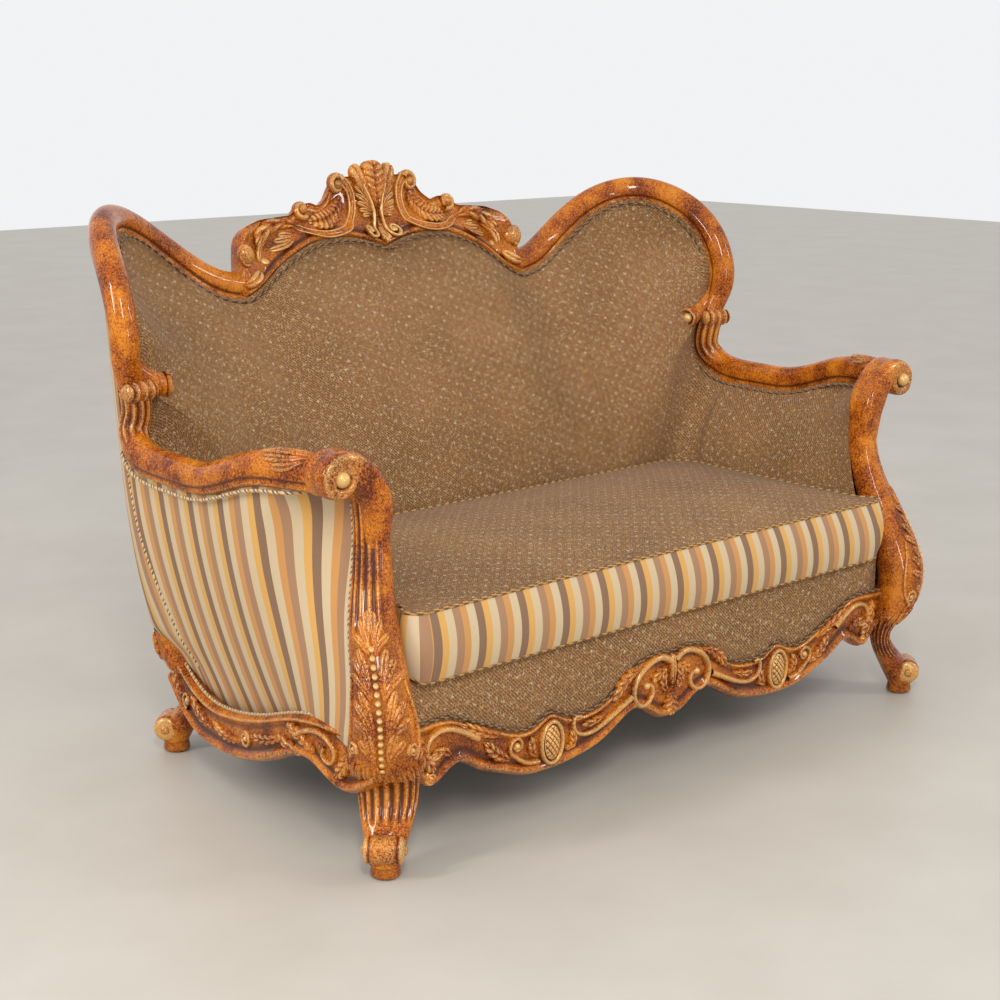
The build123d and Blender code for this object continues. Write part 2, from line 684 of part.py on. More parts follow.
with BuildPart() as inside_arm_pad:
    for station, top in arm_stations + [arm_front]:
        foot, seat, bulge, edge = pad_inside(station, top)
        with BuildSketch(station.plane):
            with BuildLine():
                Line(foot, seat)
                ThreePointArc(seat, bulge, edge)
                rear = ThreePointArc(*wall_arc(station, PAD_BOTTOM_Z, top, WALL_CAVITY))
                Line(edge, rear @ 1)
                Line(rear @ 0, foot)
            make_face()
    loft(ruled=True)
    add(stiles.part, mode=Mode.SUBTRACT)
    add(show_rails.part, mode=Mode.SUBTRACT)
    add(front_post.part, mode=Mode.SUBTRACT)
    pad = inside_arm_pad.solids().sort_by(SortBy.VOLUME)[-1]
    add(pad, mode=Mode.REPLACE)
write_pair(inside_arm_pad.part, "inside_arm_pad")

with BuildPart() as outside_back_cover:
    for station, top in back_stations + ear_stations + ear_edge:
        with BuildSketch(station.plane):
            with BuildLine():
                outer = ThreePointArc(*wall_arc(station, COVER_BOTTOM_Z, top, 0))
                inner = ThreePointArc(*wall_arc(station, COVER_BOTTOM_Z, top, COVER_THICKNESS))
                Line(outer @ 0, inner @ 0)
                Line(outer @ 1, inner @ 1)
            make_face()
    loft(ruled=True)
    mirror(about=Plane.YZ)
    add(legs.part, mode=Mode.SUBTRACT)
    add(aprons.part, mode=Mode.SUBTRACT)
    add(show_rails.part, mode=Mode.SUBTRACT)
    cloth = outside_back_cover.solids().sort_by(SortBy.VOLUME)[-1]
    add(cloth, mode=Mode.REPLACE)
write(outside_back_cover.part, "outside_back_cover")

with BuildPart() as outside_arm_cover:
    for station, top in arm_stations + [arm_front]:
        with BuildSketch(station.plane):
            with BuildLine():
                outer = ThreePointArc(*wall_arc(station, COVER_BOTTOM_Z, top, 0))
                inner = ThreePointArc(*wall_arc(station, COVER_BOTTOM_Z, top, COVER_THICKNESS))
                Line(outer @ 0, inner @ 0)
                Line(outer @ 1, inner @ 1)
            make_face()
    loft(ruled=True)
    add(legs.part, mode=Mode.SUBTRACT)
    add(aprons.part, mode=Mode.SUBTRACT)
    add(show_rails.part, mode=Mode.SUBTRACT)
    cloth = outside_arm_cover.solids().sort_by(SortBy.VOLUME)[-1]
    add(cloth, mode=Mode.REPLACE)
write_pair(outside_arm_cover.part, "outside_arm_cover")

# Deck under the cushion and the padded border below it
deck_front_y = FRONT_APRON_Y + BORDER_SETBACK
deck_bottom_z = RAIL_TOP_Z + 2 * WEBBING_THICKNESS
deck_depth = SEAT_BACK_Y - DECK_BACK_GAP - deck_front_y
deck_half_width = SEAT_HALF_WIDTH - DECK_SIDE_GAP
with BuildPart() as seat_deck:
    with Locations((0, deck_front_y, deck_bottom_z)):
        Box(2 * deck_half_width, deck_depth, DECK_TOP_Z - deck_bottom_z, align=from_middle)
    fillet(seat_deck.edges().filter_by(Axis.Z).group_by(Axis.Y)[-1], SEAT_CORNER_RADIUS)
    fillet(seat_deck.edges().filter_by(Axis.Z).group_by(Axis.Y)[0], DECK_CORNER_RADIUS)
write(seat_deck.part, "seat_deck")

with BuildPart() as deck_border:
    with Locations((0, deck_front_y, RAIL_BOTTOM_Z)):
        border_height = deck_bottom_z - RAIL_BOTTOM_Z
        Box(2 * frame_half_width, front_rail_y - deck_front_y, border_height, align=from_middle)
    add(legs.part, mode=Mode.SUBTRACT)
    add(front_apron.part, mode=Mode.SUBTRACT)
    strip = deck_border.solids().sort_by(SortBy.VOLUME)[-1]
    add(strip, mode=Mode.REPLACE)
write(deck_border.part, "deck_border")

# Loose cushion: a T-shaped outline with drawn-in sides, crowned on top
cushion_z = DECK_TOP_Z + CUSHION_GAP
cord = 2 * PIPING_RADIUS + STITCH_GAP
cushion_back_y = SEAT_BACK_Y - CUSHION_BACK_GAP
cushion_half_width = SEAT_HALF_WIDTH - CUSHION_SIDE_GAP
cushion_front_half_width = cushion_half_width + CUSHION_EAR_REACH


def cushion_plan(inset):
    """The cushion's outline seen from above, drawn in at the middle of each side and inset all round."""
    side_x = cushion_half_width - inset
    front_x = cushion_front_half_width - inset
    front_y = CUSHION_FRONT_Y + inset
    back_y = cushion_back_y - inset
    ear_y = CUSHION_FRONT_Y + CUSHION_EAR_DEPTH - inset * (sqrt(2) - 1)
    neck_y = ear_y + front_x - side_x
    quarter_draw = CUSHION_DRAW * 3 / 4
    with BuildSketch() as plan:
        with BuildLine():
            front_mid = (front_x / 2, front_y + quarter_draw)
            front = ThreePointArc((0, front_y + CUSHION_DRAW), front_mid, (front_x, front_y))
            ear = Polyline(front @ 1, (front_x, ear_y), (side_x, neck_y))
            waist = (side_x - CUSHION_DRAW, (neck_y + back_y) / 2)
            side = ThreePointArc(ear @ 1, waist, (side_x, back_y))
            back = ThreePointArc(side @ 1, (side_x / 2, back_y - quarter_draw), (0, back_y - CUSHION_DRAW))
            Line(back @ 1, front @ 0)
        make_face()
        fillet(plan.vertices().sort_by(Axis.X)[2:].group_by(Axis.Y)[-1], SEAT_CORNER_RADIUS - inset)
        fillet(plan.vertices().sort_by(Axis.X)[2:].group_by(Axis.Y)[0], CUSHION_CORNER_RADIUS - inset)
        ear_corners = [v for v in plan.vertices() if abs(v.Y - ear_y) < 1 or abs(v.Y - neck_y) < 1]
        fillet(ear_corners, CUSHION_EAR_RADIUS)
        mirror(about=Plane.YZ)
    return plan.sketch


def crown_sections(drop):
    """Planes across the cushion with the height that its crown reaches in each."""
    for share in (-1, -0.7, 0, 0.7, 1):
        rise = CUSHION_CROWN * (1 - share**2) + FABRIC_THICKNESS
        yield Plane.YZ.offset(share * cushion_front_half_width), CUSHION_EDGE_Z - drop, rise


crowns = []
for drop in (FABRIC_THICKNESS, 2 * FABRIC_THICKNESS):
    with BuildPart() as crown:
        for plane, edge_z, rise in crown_sections(drop):
            with BuildSketch(plane):
                with BuildLine():
                    low = Line((CUSHION_FRONT_Y, cushion_z), (cushion_back_y, cushion_z))
                    Line(low @ 0, (CUSHION_FRONT_Y, edge_z))
                    Line(low @ 1, (cushion_back_y, edge_z))
                    ThreePointArc(
                        (CUSHION_FRONT_Y, edge_z),
                        ((CUSHION_FRONT_Y + cushion_back_y) / 2, edge_z + rise),
                        (cushion_back_y, edge_z),
                    )
                make_face()
        loft()
    crowns.append(crown.part)
top_crown, core_crown = crowns
cushion_height = CUSHION_EDGE_Z + CUSHION_CROWN + cord - cushion_z
box_foot = cushion_z + cord
box_head = CUSHION_EDGE_Z - cord

with BuildPart() as cushion_top_panel:
    with BuildSketch(Plane.XY.offset(cushion_z)):
        add(cushion_plan(cord))
    extrude(amount=cushion_height)
    add(top_crown, mode=Mode.INTERSECT)
    add(core_crown, mode=Mode.SUBTRACT)
write(cushion_top_panel.part, "cushion_top_panel")

with BuildPart() as cushion_bottom_panel:
    with BuildSketch(Plane.XY.offset(cushion_z)):
        add(cushion_plan(cord))
    extrude(amount=FABRIC_THICKNESS)
write(cushion_bottom_panel.part, "cushion_bottom_panel")

with BuildPart() as cushion_boxing:
    with BuildSketch(Plane.XY.offset(box_foot)):
        add(cushion_plan(0))
        add(cushion_plan(FABRIC_THICKNESS), mode=Mode.SUBTRACT)
    extrude(amount=box_head - box_foot)
write(cushion_boxing.part, "cushion_boxing")

with BuildPart() as cushion_core:
    with BuildSketch(Plane.XY.offset(cushion_z + FABRIC_THICKNESS)):
        add(cushion_plan(cord))
    extrude(amount=cushion_height)
    add(core_crown, mode=Mode.INTERSECT)
    with BuildSketch(Plane.XY.offset(box_foot)):
        add(cushion_plan(FABRIC_THICKNESS + STITCH_GAP))
    extrude(amount=box_head - box_foot)
write(cushion_core.part, "cushion_core")

# Piping round both seams of the cushion, eight-sided in section
for name, cord_z in (("bottom", cushion_z), ("top", CUSHION_EDGE_Z - 2 * PIPING_RADIUS)):
    with BuildPart() as cushion_piping:
        with BuildSketch(Plane.XY.offset(cord_z)):
            add(cushion_plan(0))
            add(cushion_plan(2 * PIPING_RADIUS), mode=Mode.SUBTRACT)
        extrude(amount=2 * PIPING_RADIUS)
        rims = cushion_piping.faces().filter_by(Axis.Z).edges()
        chamfer(rims, PIPING_RADIUS * (2 - sqrt(2)))
    write(cushion_piping.part, f"cushion_piping_{name}")
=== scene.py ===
# %% [markdown]
# # A carved rococo sofa
# The sofa stands in the frame of its CAD model, in metres, with +Z up and the front towards -Y.
# Everything is worked out in millimetres, because that is how a cabinet-maker would measure it,
# and turned into metres when a mesh is made. Each piece is a grid of points from a formula.

import json
from math import radians

import bpy
import numpy as np
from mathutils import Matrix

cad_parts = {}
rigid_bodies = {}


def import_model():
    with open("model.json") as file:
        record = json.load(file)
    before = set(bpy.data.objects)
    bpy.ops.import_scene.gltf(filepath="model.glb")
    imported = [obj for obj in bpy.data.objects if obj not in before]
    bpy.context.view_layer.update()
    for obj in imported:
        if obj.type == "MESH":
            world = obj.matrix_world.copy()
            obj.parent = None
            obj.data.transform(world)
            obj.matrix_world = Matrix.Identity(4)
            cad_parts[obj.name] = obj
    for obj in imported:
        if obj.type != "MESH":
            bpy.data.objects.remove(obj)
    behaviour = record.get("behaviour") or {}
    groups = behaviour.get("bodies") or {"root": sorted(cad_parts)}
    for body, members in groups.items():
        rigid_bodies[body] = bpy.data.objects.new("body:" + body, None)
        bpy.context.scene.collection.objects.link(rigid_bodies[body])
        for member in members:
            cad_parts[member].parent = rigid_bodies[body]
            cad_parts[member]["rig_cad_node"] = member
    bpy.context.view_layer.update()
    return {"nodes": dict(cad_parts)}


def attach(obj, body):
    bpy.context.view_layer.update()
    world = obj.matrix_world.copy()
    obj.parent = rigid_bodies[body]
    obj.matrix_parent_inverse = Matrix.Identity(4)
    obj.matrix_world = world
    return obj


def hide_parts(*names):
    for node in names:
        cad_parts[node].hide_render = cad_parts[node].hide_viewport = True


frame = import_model()
nodes = frame["nodes"]
print("CAD nodes:", len(nodes))

# %% [markdown]
# ## Making meshes
# A surface is a grid of points, rows by columns. The faces follow from the grid's shape alone, so
# no loop visits the vertices. Several grids can be joined into one piece, which is how the carved
# ornament is put together. Every grid carries a UV and a number for gold and painted shade, which
# tells the varnish how much gold lies on that point; where the number is below zero it paints shade
# there instead. The pieces could be sculpted by hand instead, but a formula can be
# read and changed, and it makes the left side from the right.

# %% Grids to meshes
MM = 0.001


def grid_faces(rows, cols, wrap_rows=False, wrap_cols=False):
    """Quads of a grid: each joins a point, the next in its row, and the two in the row after."""
    i = np.arange(rows if wrap_rows else rows - 1)[:, None]
    j = np.arange(cols if wrap_cols else cols - 1)[None, :]
    i2, j2 = (i + 1) % rows, (j + 1) % cols
    quads = np.stack(np.broadcast_arrays(i * cols + j, i * cols + j2, i2 * cols + j2, i2 * cols + j), -1)
    return quads.reshape(-1, 4)


class Grid:
    """Points (rows, cols, 3) in mm, whether each way closes, a UV in mm and on each point its gold; below
    zero, its painted shade.
    """

    def __init__(self, points, wrap_rows=False, wrap_cols=False, uv=None, gilt_and_shade=0.0, flip=False):
        self.points = np.asarray(points, float)
        rows, cols = self.points.shape[:2]
        self.quads = grid_faces(rows, cols, wrap_rows, wrap_cols)
        if flip:
            self.quads = self.quads[:, ::-1]
        if uv is None:
            uv = np.stack([self.points[..., 0], self.points[..., 2]], -1)
        self.uv = np.asarray(uv, float)
        self.gilt_and_shade = np.broadcast_to(np.asarray(gilt_and_shade, float), (rows, cols))

    def mirrored(self):
        """The same grid on the other side of the sofa."""
        twin = Grid(self.points * (-1, 1, 1), uv=self.uv, gilt_and_shade=self.gilt_and_shade)
        twin.quads = self.quads[:, ::-1]
        return twin

    def mapped(self, place):
        """The same grid with its points carried elsewhere by a function."""
        twin = Grid(place(self.points), uv=self.uv, gilt_and_shade=self.gilt_and_shade)
        twin.quads = self.quads
        return twin


def make(name, grids, material, body="frame", stands_for=(), slot=None):
    """One object from several grids, at the origin, riding on a CAD body."""
    starts = np.cumsum([0] + [g.points.shape[0] * g.points.shape[1] for g in grids])
    points = np.concatenate([g.points.reshape(-1, 3) for g in grids]) * MM
    quads = np.concatenate([g.quads + start for g, start in zip(grids, starts)])
    mesh = bpy.data.meshes.new(name)
    mesh.vertices.add(len(points))
    mesh.vertices.foreach_set("co", points.ravel())
    mesh.loops.add(quads.size)
    mesh.loops.foreach_set("vertex_index", quads.ravel().astype(np.int32))
    mesh.polygons.add(len(quads))
    mesh.polygons.foreach_set("loop_start", np.arange(0, quads.size, 4, dtype=np.int32))
    mesh.update(calc_edges=True)
    uv = np.concatenate([g.uv.reshape(-1, 2) for g in grids])[quads.ravel()] * MM
    mesh.uv_layers.new(name="UVMap").data.foreach_set("uv", uv.ravel().astype(np.float32))
    gilt_and_shade = np.concatenate([g.gilt_and_shade.ravel() for g in grids])
    mesh.attributes.new("gilt_and_shade", "FLOAT", "POINT").data.foreach_set("value", gilt_and_shade.astype(np.float32))
    mesh.polygons.foreach_set("use_smooth", np.ones(len(quads), bool))
    mesh.materials.append(material)
    mesh.validate()
    piece = bpy.data.objects.new(name, mesh)
    bpy.context.scene.collection.objects.link(piece)
    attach(piece, body)
    if stands_for:
        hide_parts(*stands_for)
    print(f"{name}: {len(quads)} quads")
    return piece


def both_sides(name, grids, material, stands_for=(), **options):
    """A right-hand piece and its mirror image, standing for the right-hand and left-hand nodes."""
    right = make(f"{name}_right", grids, material, stands_for=[f"{n}_right" for n in stands_for], **options)
    mirror = [g.mirrored() for g in grids]
    left = make(f"{name}_left", mirror, material, stands_for=[f"{n}_left" for n in stands_for], **options)
    return right, left


# %% [markdown]
# Curves come from a few points each. A natural cubic spline passes through all of them, with the
# straight distances between the points as its parameter. A sweep carries a closed outline along a
# curve, square to it. Blender's own curves could do this too, but as arrays the same lines also
# place the ornament, the cloth and the cords.

# %% Curves and sweeps
RAIL_GIRTH = 190.0
ODD_AXIS = (0.123, 0.217, 1.0)


def spline(points, count):
    """Natural cubic through the points, read at evenly spaced distances."""
    p = np.asarray(points, float)
    knots = arc_length(p)
    return spline_over(knots, p, np.linspace(0, knots[-1], count))


def spline_over(knots, values, t):
    """Natural cubic through values at knots, read at t: its second differences solve a banded system."""
    knots = np.asarray(knots, float)
    p = np.asarray(values, float)
    p = p[:, None] if p.ndim == 1 else p
    step = np.diff(knots)
    n = len(knots)
    a = np.eye(n)
    inner = np.arange(1, n - 1)
    a[inner, inner - 1] = step[:-1]
    a[inner, inner] = 2 * (step[:-1] + step[1:])
    a[inner, inner + 1] = step[1:]
    rhs = np.zeros_like(p)
    slope = np.diff(p, axis=0) / step[:, None]
    rhs[1:-1] = 6 * np.diff(slope, axis=0)
    m = np.linalg.solve(a, rhs)
    t = np.asarray(t, float)
    k = np.clip(np.searchsorted(knots, t) - 1, 0, n - 2)
    h = step[k][:, None]
    u = (t - knots[k])[:, None]
    w = (knots[k + 1] - t)[:, None]
    out = (m[k] * w**3 + m[k + 1] * u**3) / (6 * h)
    out += (p[k] / h - m[k] * h / 6) * w + (p[k + 1] / h - m[k + 1] * h / 6) * u
    return out[:, 0] if out.shape[1] == 1 else out


def unit(v):
    """Vectors scaled to length one."""
    return v / np.maximum(np.linalg.norm(v, axis=-1, keepdims=True), 1e-9)


def arc_length(path):
    """Distance run along a path up to each of its points."""
    return np.concatenate([[0], np.cumsum(np.linalg.norm(np.diff(path, axis=0), axis=1))])


def smooth_step(low, high, x):
    """0 below low and 1 above high, with a soft rise between."""
    t = np.clip((np.asarray(x, float) - low) / (high - low), 0, 1)
    return t * t * (3 - 2 * t)


def bump(x, centre, width):
    """A bell curve of height one."""
    return np.exp(-(((x - centre) / width) ** 2))


def full_turn(count):
    """Evenly spaced angles round a circle."""
    return np.linspace(0, 2 * np.pi, count, endpoint=False)


def sweep(path, outward, profile, gilt_and_shade=0.0):
    """Carries outlines (count, m, 2) along a path: first number outwards, second along path x outward."""
    tangent = unit(np.gradient(path, axis=0))
    out = unit(outward - tangent * np.sum(outward * tangent, -1, keepdims=True))
    up = np.cross(tangent, out)
    points = path[:, None] + profile[..., :1] * out[:, None] + profile[..., 1:] * up[:, None]
    run = np.broadcast_to(arc_length(path)[:, None], points.shape[:2])
    girth = np.linspace(0, 1, points.shape[1])[None] * RAIL_GIRTH
    uv = np.stack(np.broadcast_arrays(run, girth), -1)
    return Grid(points, wrap_cols=True, uv=uv, gilt_and_shade=gilt_and_shade)


def cord(path, radius, sides=10):
    """A round cord along a path: a circle swept square to an axis that no cord follows."""
    side = np.cross(unit(np.gradient(path, axis=0)), ODD_AXIS)
    angle = full_turn(sides)
    ring = np.stack([np.cos(angle), np.sin(angle)], -1) * radius
    grid = sweep(path, side, np.tile(ring, (len(path), 1, 1)))
    grid.uv[..., 1] = angle * radius
    return grid


# %% [markdown]
# ## The walls
# The upholstered walls run from the middle of the back, round the ear and forwards along the arm.
# One number, the station, counts along them: 0 to 1 on the straight back, 1 to 2 round the corner
# and 2 to 3 along the arm. The outer face leans back, flares out and is drawn in at the neck. Rails,
# cloths and cords all ask these functions where the wall is, and so they meet without being fitted.

# %% Shape of the walls
PIVOT = np.array([400.0, 92.0])
ARM_RUN = 547.0
WALL_FOOT_Z, WALL_TOP_Z = 250.0, 950.0
BACK_FOOT_Y, LEAN = 327.3, 0.22
SIDE_FOOT_X, FLARE = 725.0, 120.0
BOW, BOW_START, BOW_RUN = 32.0, -65.0, 245.0
PULL, PULL_Z, PULL_HIGH, PULL_START, PULL_RUN = 55.0, 565.0, 110.0, -150.0, 228.0
EAR_RADIUS, FOOT_RADIUS = 375.0, 80.0
SEAT_SIDE, SEAT_BACK, SEAT_CORNER = 642.0, 137.0, 70.0


def wall_fraction(z):
    """1 at the foot of the wall and 0 from the ears upwards."""
    return np.clip((WALL_TOP_Z - z) / (WALL_TOP_Z - WALL_FOOT_Z), 0, None)


def back_face(z):
    """Y of the outside back."""
    return BACK_FOOT_Y + LEAN * (z - WALL_FOOT_Z)


def side_face(y, z):
    """X of the outside arm: flare upwards, less the bow to the front and the pull at the neck."""
    f = wall_fraction(z)
    bow = BOW * np.clip(1.4 * (1 - f) - 0.2, 0, 1) * (np.clip(BOW_START - y, 0, None) / BOW_RUN) ** 2
    pull = PULL * bump(z, PULL_Z, PULL_HIGH) * (np.clip(PULL_START - y, 0, None) / PULL_RUN) ** 2
    return SIDE_FOOT_X + FLARE * (1 - f**2) - bow - pull


def corner_radius(z):
    """Plan radius of the wall's rear corner."""
    return EAR_RADIUS - (EAR_RADIUS - FOOT_RADIUS) * wall_fraction(z) ** 1.5


def rounded_reach(bearing, side, back, radius):
    """Distance from the pivot to a rounded corner at a bearing in degrees from +X towards +Y."""
    c, s = np.cos(np.radians(bearing)), np.sin(np.radians(bearing))
    cx, cy = side - radius - PIVOT[0], back - radius - PIVOT[1]
    to_back = (back - PIVOT[1]) / np.maximum(s, 1e-9)
    to_side = (side - PIVOT[0]) / np.maximum(c, 1e-9)
    along = cx * c + cy * s
    round_ = along + np.sqrt(np.maximum(along**2 - cx**2 - cy**2 + radius**2, 0))
    return np.where(to_back * c <= cx, to_back, np.where(to_side * s <= cy, to_side, round_))


def station_base(s):
    """Foot point, outward direction and bearing of each station."""
    s = np.asarray(s, float)
    bearing = 90 * np.clip(2 - s, 0, 1)
    out = np.stack([np.cos(np.radians(bearing)), np.sin(np.radians(bearing))], -1)
    x = PIVOT[0] * np.clip(s, 0, 1)
    y = PIVOT[1] - ARM_RUN * np.clip(s - 2, 0, None)
    return np.stack([x, y], -1), out, bearing


def outer_reach(s, z):
    """Distance from the foot point of a station out to the wall's outer face."""
    base, _, bearing = station_base(s)
    arm = side_face(base[..., 1], z) - PIVOT[0]
    turn = rounded_reach(bearing, side_face(PIVOT[1], z), back_face(z), corner_radius(z))
    return np.where(s >= 2, arm, turn)


def inner_reach(s):
    """Distance from the foot point of a station out to the pad's inside face at the seat."""
    return rounded_reach(station_base(s)[2], SEAT_SIDE, SEAT_BACK, SEAT_CORNER)


def wall_point(s, reach, z):
    """Point of the sofa from a station, a distance out and a height."""
    base, out, _ = station_base(s)
    xy = base + out * reach[..., None]
    return np.concatenate([xy, np.broadcast_to(z, xy.shape[:-1])[..., None]], -1)


def bearing_station(bearing):
    """Station at a bearing round the corner."""
    return 2 - np.asarray(bearing, float) / 90


def depth_station(y):
    """Station at a depth along the arm."""
    return 2 + (PIVOT[1] - np.asarray(y, float)) / ARM_RUN


# The show-wood edge of the wall: station and height of the rail's centre
EAR_BEARING = np.array([94.5, 84.5, 75.6, 66.6, 58, 50, 42, 34, 26, 19, 13.5, 11, 12, 13.4])
EAR_Z = np.array([901, 913, 945, 990, 1030, 1054, 1062, 1053, 1028, 990, 935, 870, 815, 770.0])
ARM_FOOT_BEARING = np.array([13.4, 14.8, 15, 10, 3])
ARM_FOOT_Z = np.array([770, 725, 690, 656, 642.0])
ARM_Y = np.array([20, -65, -150, -220, -290, -378.0])
ARM_Z = np.array([638, 640, 662, 683, 690, 691.0])
ear_stations = bearing_station(EAR_BEARING)
arm_stations = np.concatenate([bearing_station(ARM_FOOT_BEARING), depth_station(ARM_Y)])
arm_heights = np.concatenate([ARM_FOOT_Z, ARM_Z])
RAIL_DEPTH, RAIL_WIDTH, RAIL_PROUD = 54.0, 62.0, 4.0
NECK_Z, NECK_IN = 742.0, 16.0


def rail_line(stations, heights, count):
    """Smooth centre line of a rail and its outward directions; the neck under the ear is drawn in."""
    neck = NECK_IN * bump(heights, NECK_Z, 50) * (stations > 1.6)
    reach = outer_reach(stations, heights) + RAIL_PROUD - RAIL_DEPTH / 2 - neck
    centres = wall_point(stations, reach, heights)
    knots = arc_length(centres)
    t = np.linspace(0, knots[-1], count)
    outs = np.concatenate([station_base(stations)[1], np.zeros((len(stations), 1))], -1)
    return spline_over(knots, centres, t), unit(spline_over(knots, outs, t))


print("ear top", rail_line(ear_stations, EAR_Z, 50)[0][:, 2].max())

# %% [markdown]
# ## Materials
# A small wrapper lets node sockets be written like numbers, so a pattern reads as its formula.
# The varnish is mottled amber over red-brown; gold lies where the carving stands up, and painted
# shade, a dark brown, where it goes down. The cloths read their UV, which is in metres along the weave.
# Pictures could be wrapped on instead, but noise and stripes stay sharp at any distance and fit every piece.

# %% Socket wrapper


class Sock:
    """One output of a node; arithmetic on it makes Math nodes."""

    def __init__(self, out):
        self.out = out

    def node(self, kind, *inputs, output=0, **settings):
        """A new node in the same tree, with its settings and its first inputs filled."""
        tree = self.out.id_data
        new = tree.nodes.new(kind)
        for key, value in settings.items():
            setattr(new, key, value)
        for socket, value in zip(new.inputs, inputs):
            if isinstance(value, Sock):
                tree.links.new(value.out, socket)
            elif value is not None:
                socket.default_value = value
        return Sock(new.outputs[output])

    def math(self, operation, *others):
        return self.node("ShaderNodeMath", self, *others, operation=operation)

    def __add__(self, other):
        return self.math("ADD", other)

    def __sub__(self, other):
        return self.math("SUBTRACT", other)

    def __mul__(self, other):
        return self.math("MULTIPLY", other)

    def __truediv__(self, other):
        return self.math("DIVIDE", other)

    def __rsub__(self, other):
        return (self * -1.0) + other

    def __rtruediv__(self, other):
        return self.math("POWER", -1.0) * other

    __radd__ = __add__
    __rmul__ = __mul__

    def fract(self):
        return self.math("FRACT")

    def absolute(self):
        return self.math("ABSOLUTE")

    def ramp(self, *stops, constant=False):
        """Colour along this number, from (place, colour) stops."""
        colour = self.node("ShaderNodeValToRGB", self)
        band = colour.out.node.color_ramp
        band.interpolation = "CONSTANT" if constant else "LINEAR"
        while len(band.elements) < len(stops):
            band.elements.new(0.5)
        for element, (place, shade) in zip(band.elements, stops):
            element.position = place
            element.color = (*shade, 1.0)
        return colour

    def step(self, low, high):
        """0 below low, 1 above high, straight between."""
        return self.node("ShaderNodeMapRange", self, low, high, 0.0, 1.0)

    def mix(self, first, second):
        """Colour from first to second as this number goes from 0 to 1."""
        new = self.node("ShaderNodeMix", data_type="RGBA", output=2)
        tree, inputs = self.out.id_data, new.out.node.inputs
        tree.links.new(self.out, inputs[0])
        for socket, value in ((inputs[6], first), (inputs[7], second)):
            if isinstance(value, Sock):
                tree.links.new(value.out, socket)
            else:
                socket.default_value = (*value, 1.0)
        return new

    def split(self):
        """The three parts of a vector."""
        parts = self.node("ShaderNodeSeparateXYZ", self).out.node.outputs
        return [Sock(part) for part in parts]

    def noise(self, scale, detail=3.0, roughness=0.55, twist=0.0):
        inputs = (self, None, scale, detail, roughness, None, None, None, twist)
        return self.node("ShaderNodeTexNoise", *inputs)


COAT_ROUGHNESS = 0.06


def new_material(name, roughness, coat=0.0, sheen=0.0, specular=0.5):
    """A material with its shader, and the two sockets that patterns start from."""
    material = bpy.data.materials.new(name)
    material.use_nodes = True
    tree = material.node_tree
    shader = tree.nodes["Principled BSDF"]
    shader.inputs["Roughness"].default_value = roughness
    shader.inputs["Coat Weight"].default_value = coat
    shader.inputs["Coat Roughness"].default_value = COAT_ROUGHNESS
    shader.inputs["Sheen Weight"].default_value = sheen
    shader.inputs["Specular IOR Level"].default_value = specular
    places = tree.nodes.new("ShaderNodeTexCoord")
    return material, shader, Sock(places.outputs["Object"]), Sock(places.outputs["UV"])


def feed(shader, **sockets):
    """Links sockets to the shader's inputs; underscores in the names stand for spaces."""
    for name, sock in sockets.items():
        sock.out.id_data.links.new(sock.out, shader.inputs[name.replace("_", " ")])


def bumped(height, strength, distance):
    """Normal from a height pattern."""
    return height.node("ShaderNodeBump", strength, distance, None, height)


# %% Varnished wood
AMBER, HONEY = (0.40, 0.102, 0.007), (0.60, 0.205, 0.016)
RUST, DARK = (0.25, 0.050, 0.006), (0.080, 0.016, 0.005)
# GOLD is the gilding; the dark brown beside it is painted shade for the carving's grooves and hollows.
GOLD, RECESS_SHADE = (0.72, 0.44, 0.155), (0.052, 0.012, 0.005)


def carved_wood():
    """Patches of honey and amber, streaked with rust and near-black, under a glossy coat; gold on the carving
    and painted shade in its hollows.
    """
    material, shader, place, _ = new_material("carved_wood", 0.3, coat=0.55, specular=0.03)
    patches = place.noise(15.0, 3.0, 0.55)
    veins = place.noise(260.0, 4.0, 0.62, 0.9)
    specks = place.noise(520.0, 2.0, 0.6)
    tone = veins * 0.54 + patches * 0.42 + specks * 0.16
    wood = tone.ramp((0.465, DARK), (0.515, RUST), (0.57, AMBER), (0.645, HONEY))
    # The carving's number: gold where it is above zero, painted shade where it is below.
    gilt_and_shade = place.node("ShaderNodeAttribute", output=2, attribute_name="gilt_and_shade")
    worn = gilt_and_shade + (specks - 0.5) * 0.7 + (veins - 0.5) * 0.9
    gold = worn.step(0.22, 0.85) * 0.92
    # Painted shade: a dark brown laid where the number is below zero, in grooves and hollows.
    recess_shade = (gilt_and_shade * -1.0).step(0.05, 0.6) * 0.9
    colour = gold.mix(wood, GOLD)
    colour = recess_shade.mix(colour, RECESS_SHADE)
    feed(shader, Base_Color=colour, Roughness=gold * 0.08 + 0.24, Metallic=gold * 0.35)
    feed(shader, Normal=bumped(specks + veins, 0.10, 0.0006))
    return material


# %% Brown cloth with rows of crosses
TAUPE, TAUPE_DARK = (0.305, 0.150, 0.064), (0.072, 0.031, 0.011)
CREAM_DOT, GOLD_DOT = (0.64, 0.49, 0.28), (0.57, 0.34, 0.12)
RIBS, THREADS = 132.0, 210.0
ROW_STEP, ROW_DROP, ROW_GAP = 0.017, 0.009, 0.027
CROSS_ARM, CROSS_STROKE = (0.0032, 0.0044), (0.0004, 0.0011)


def twill(u, v):
    """Height of a fine twill: diagonal ribs crossed by a finer thread."""
    rib = ((u + v) * RIBS).fract() - 0.5
    thread = ((u - v) * THREADS).fract() - 0.5
    return rib.absolute() * 1.3 + thread.absolute() * 0.7


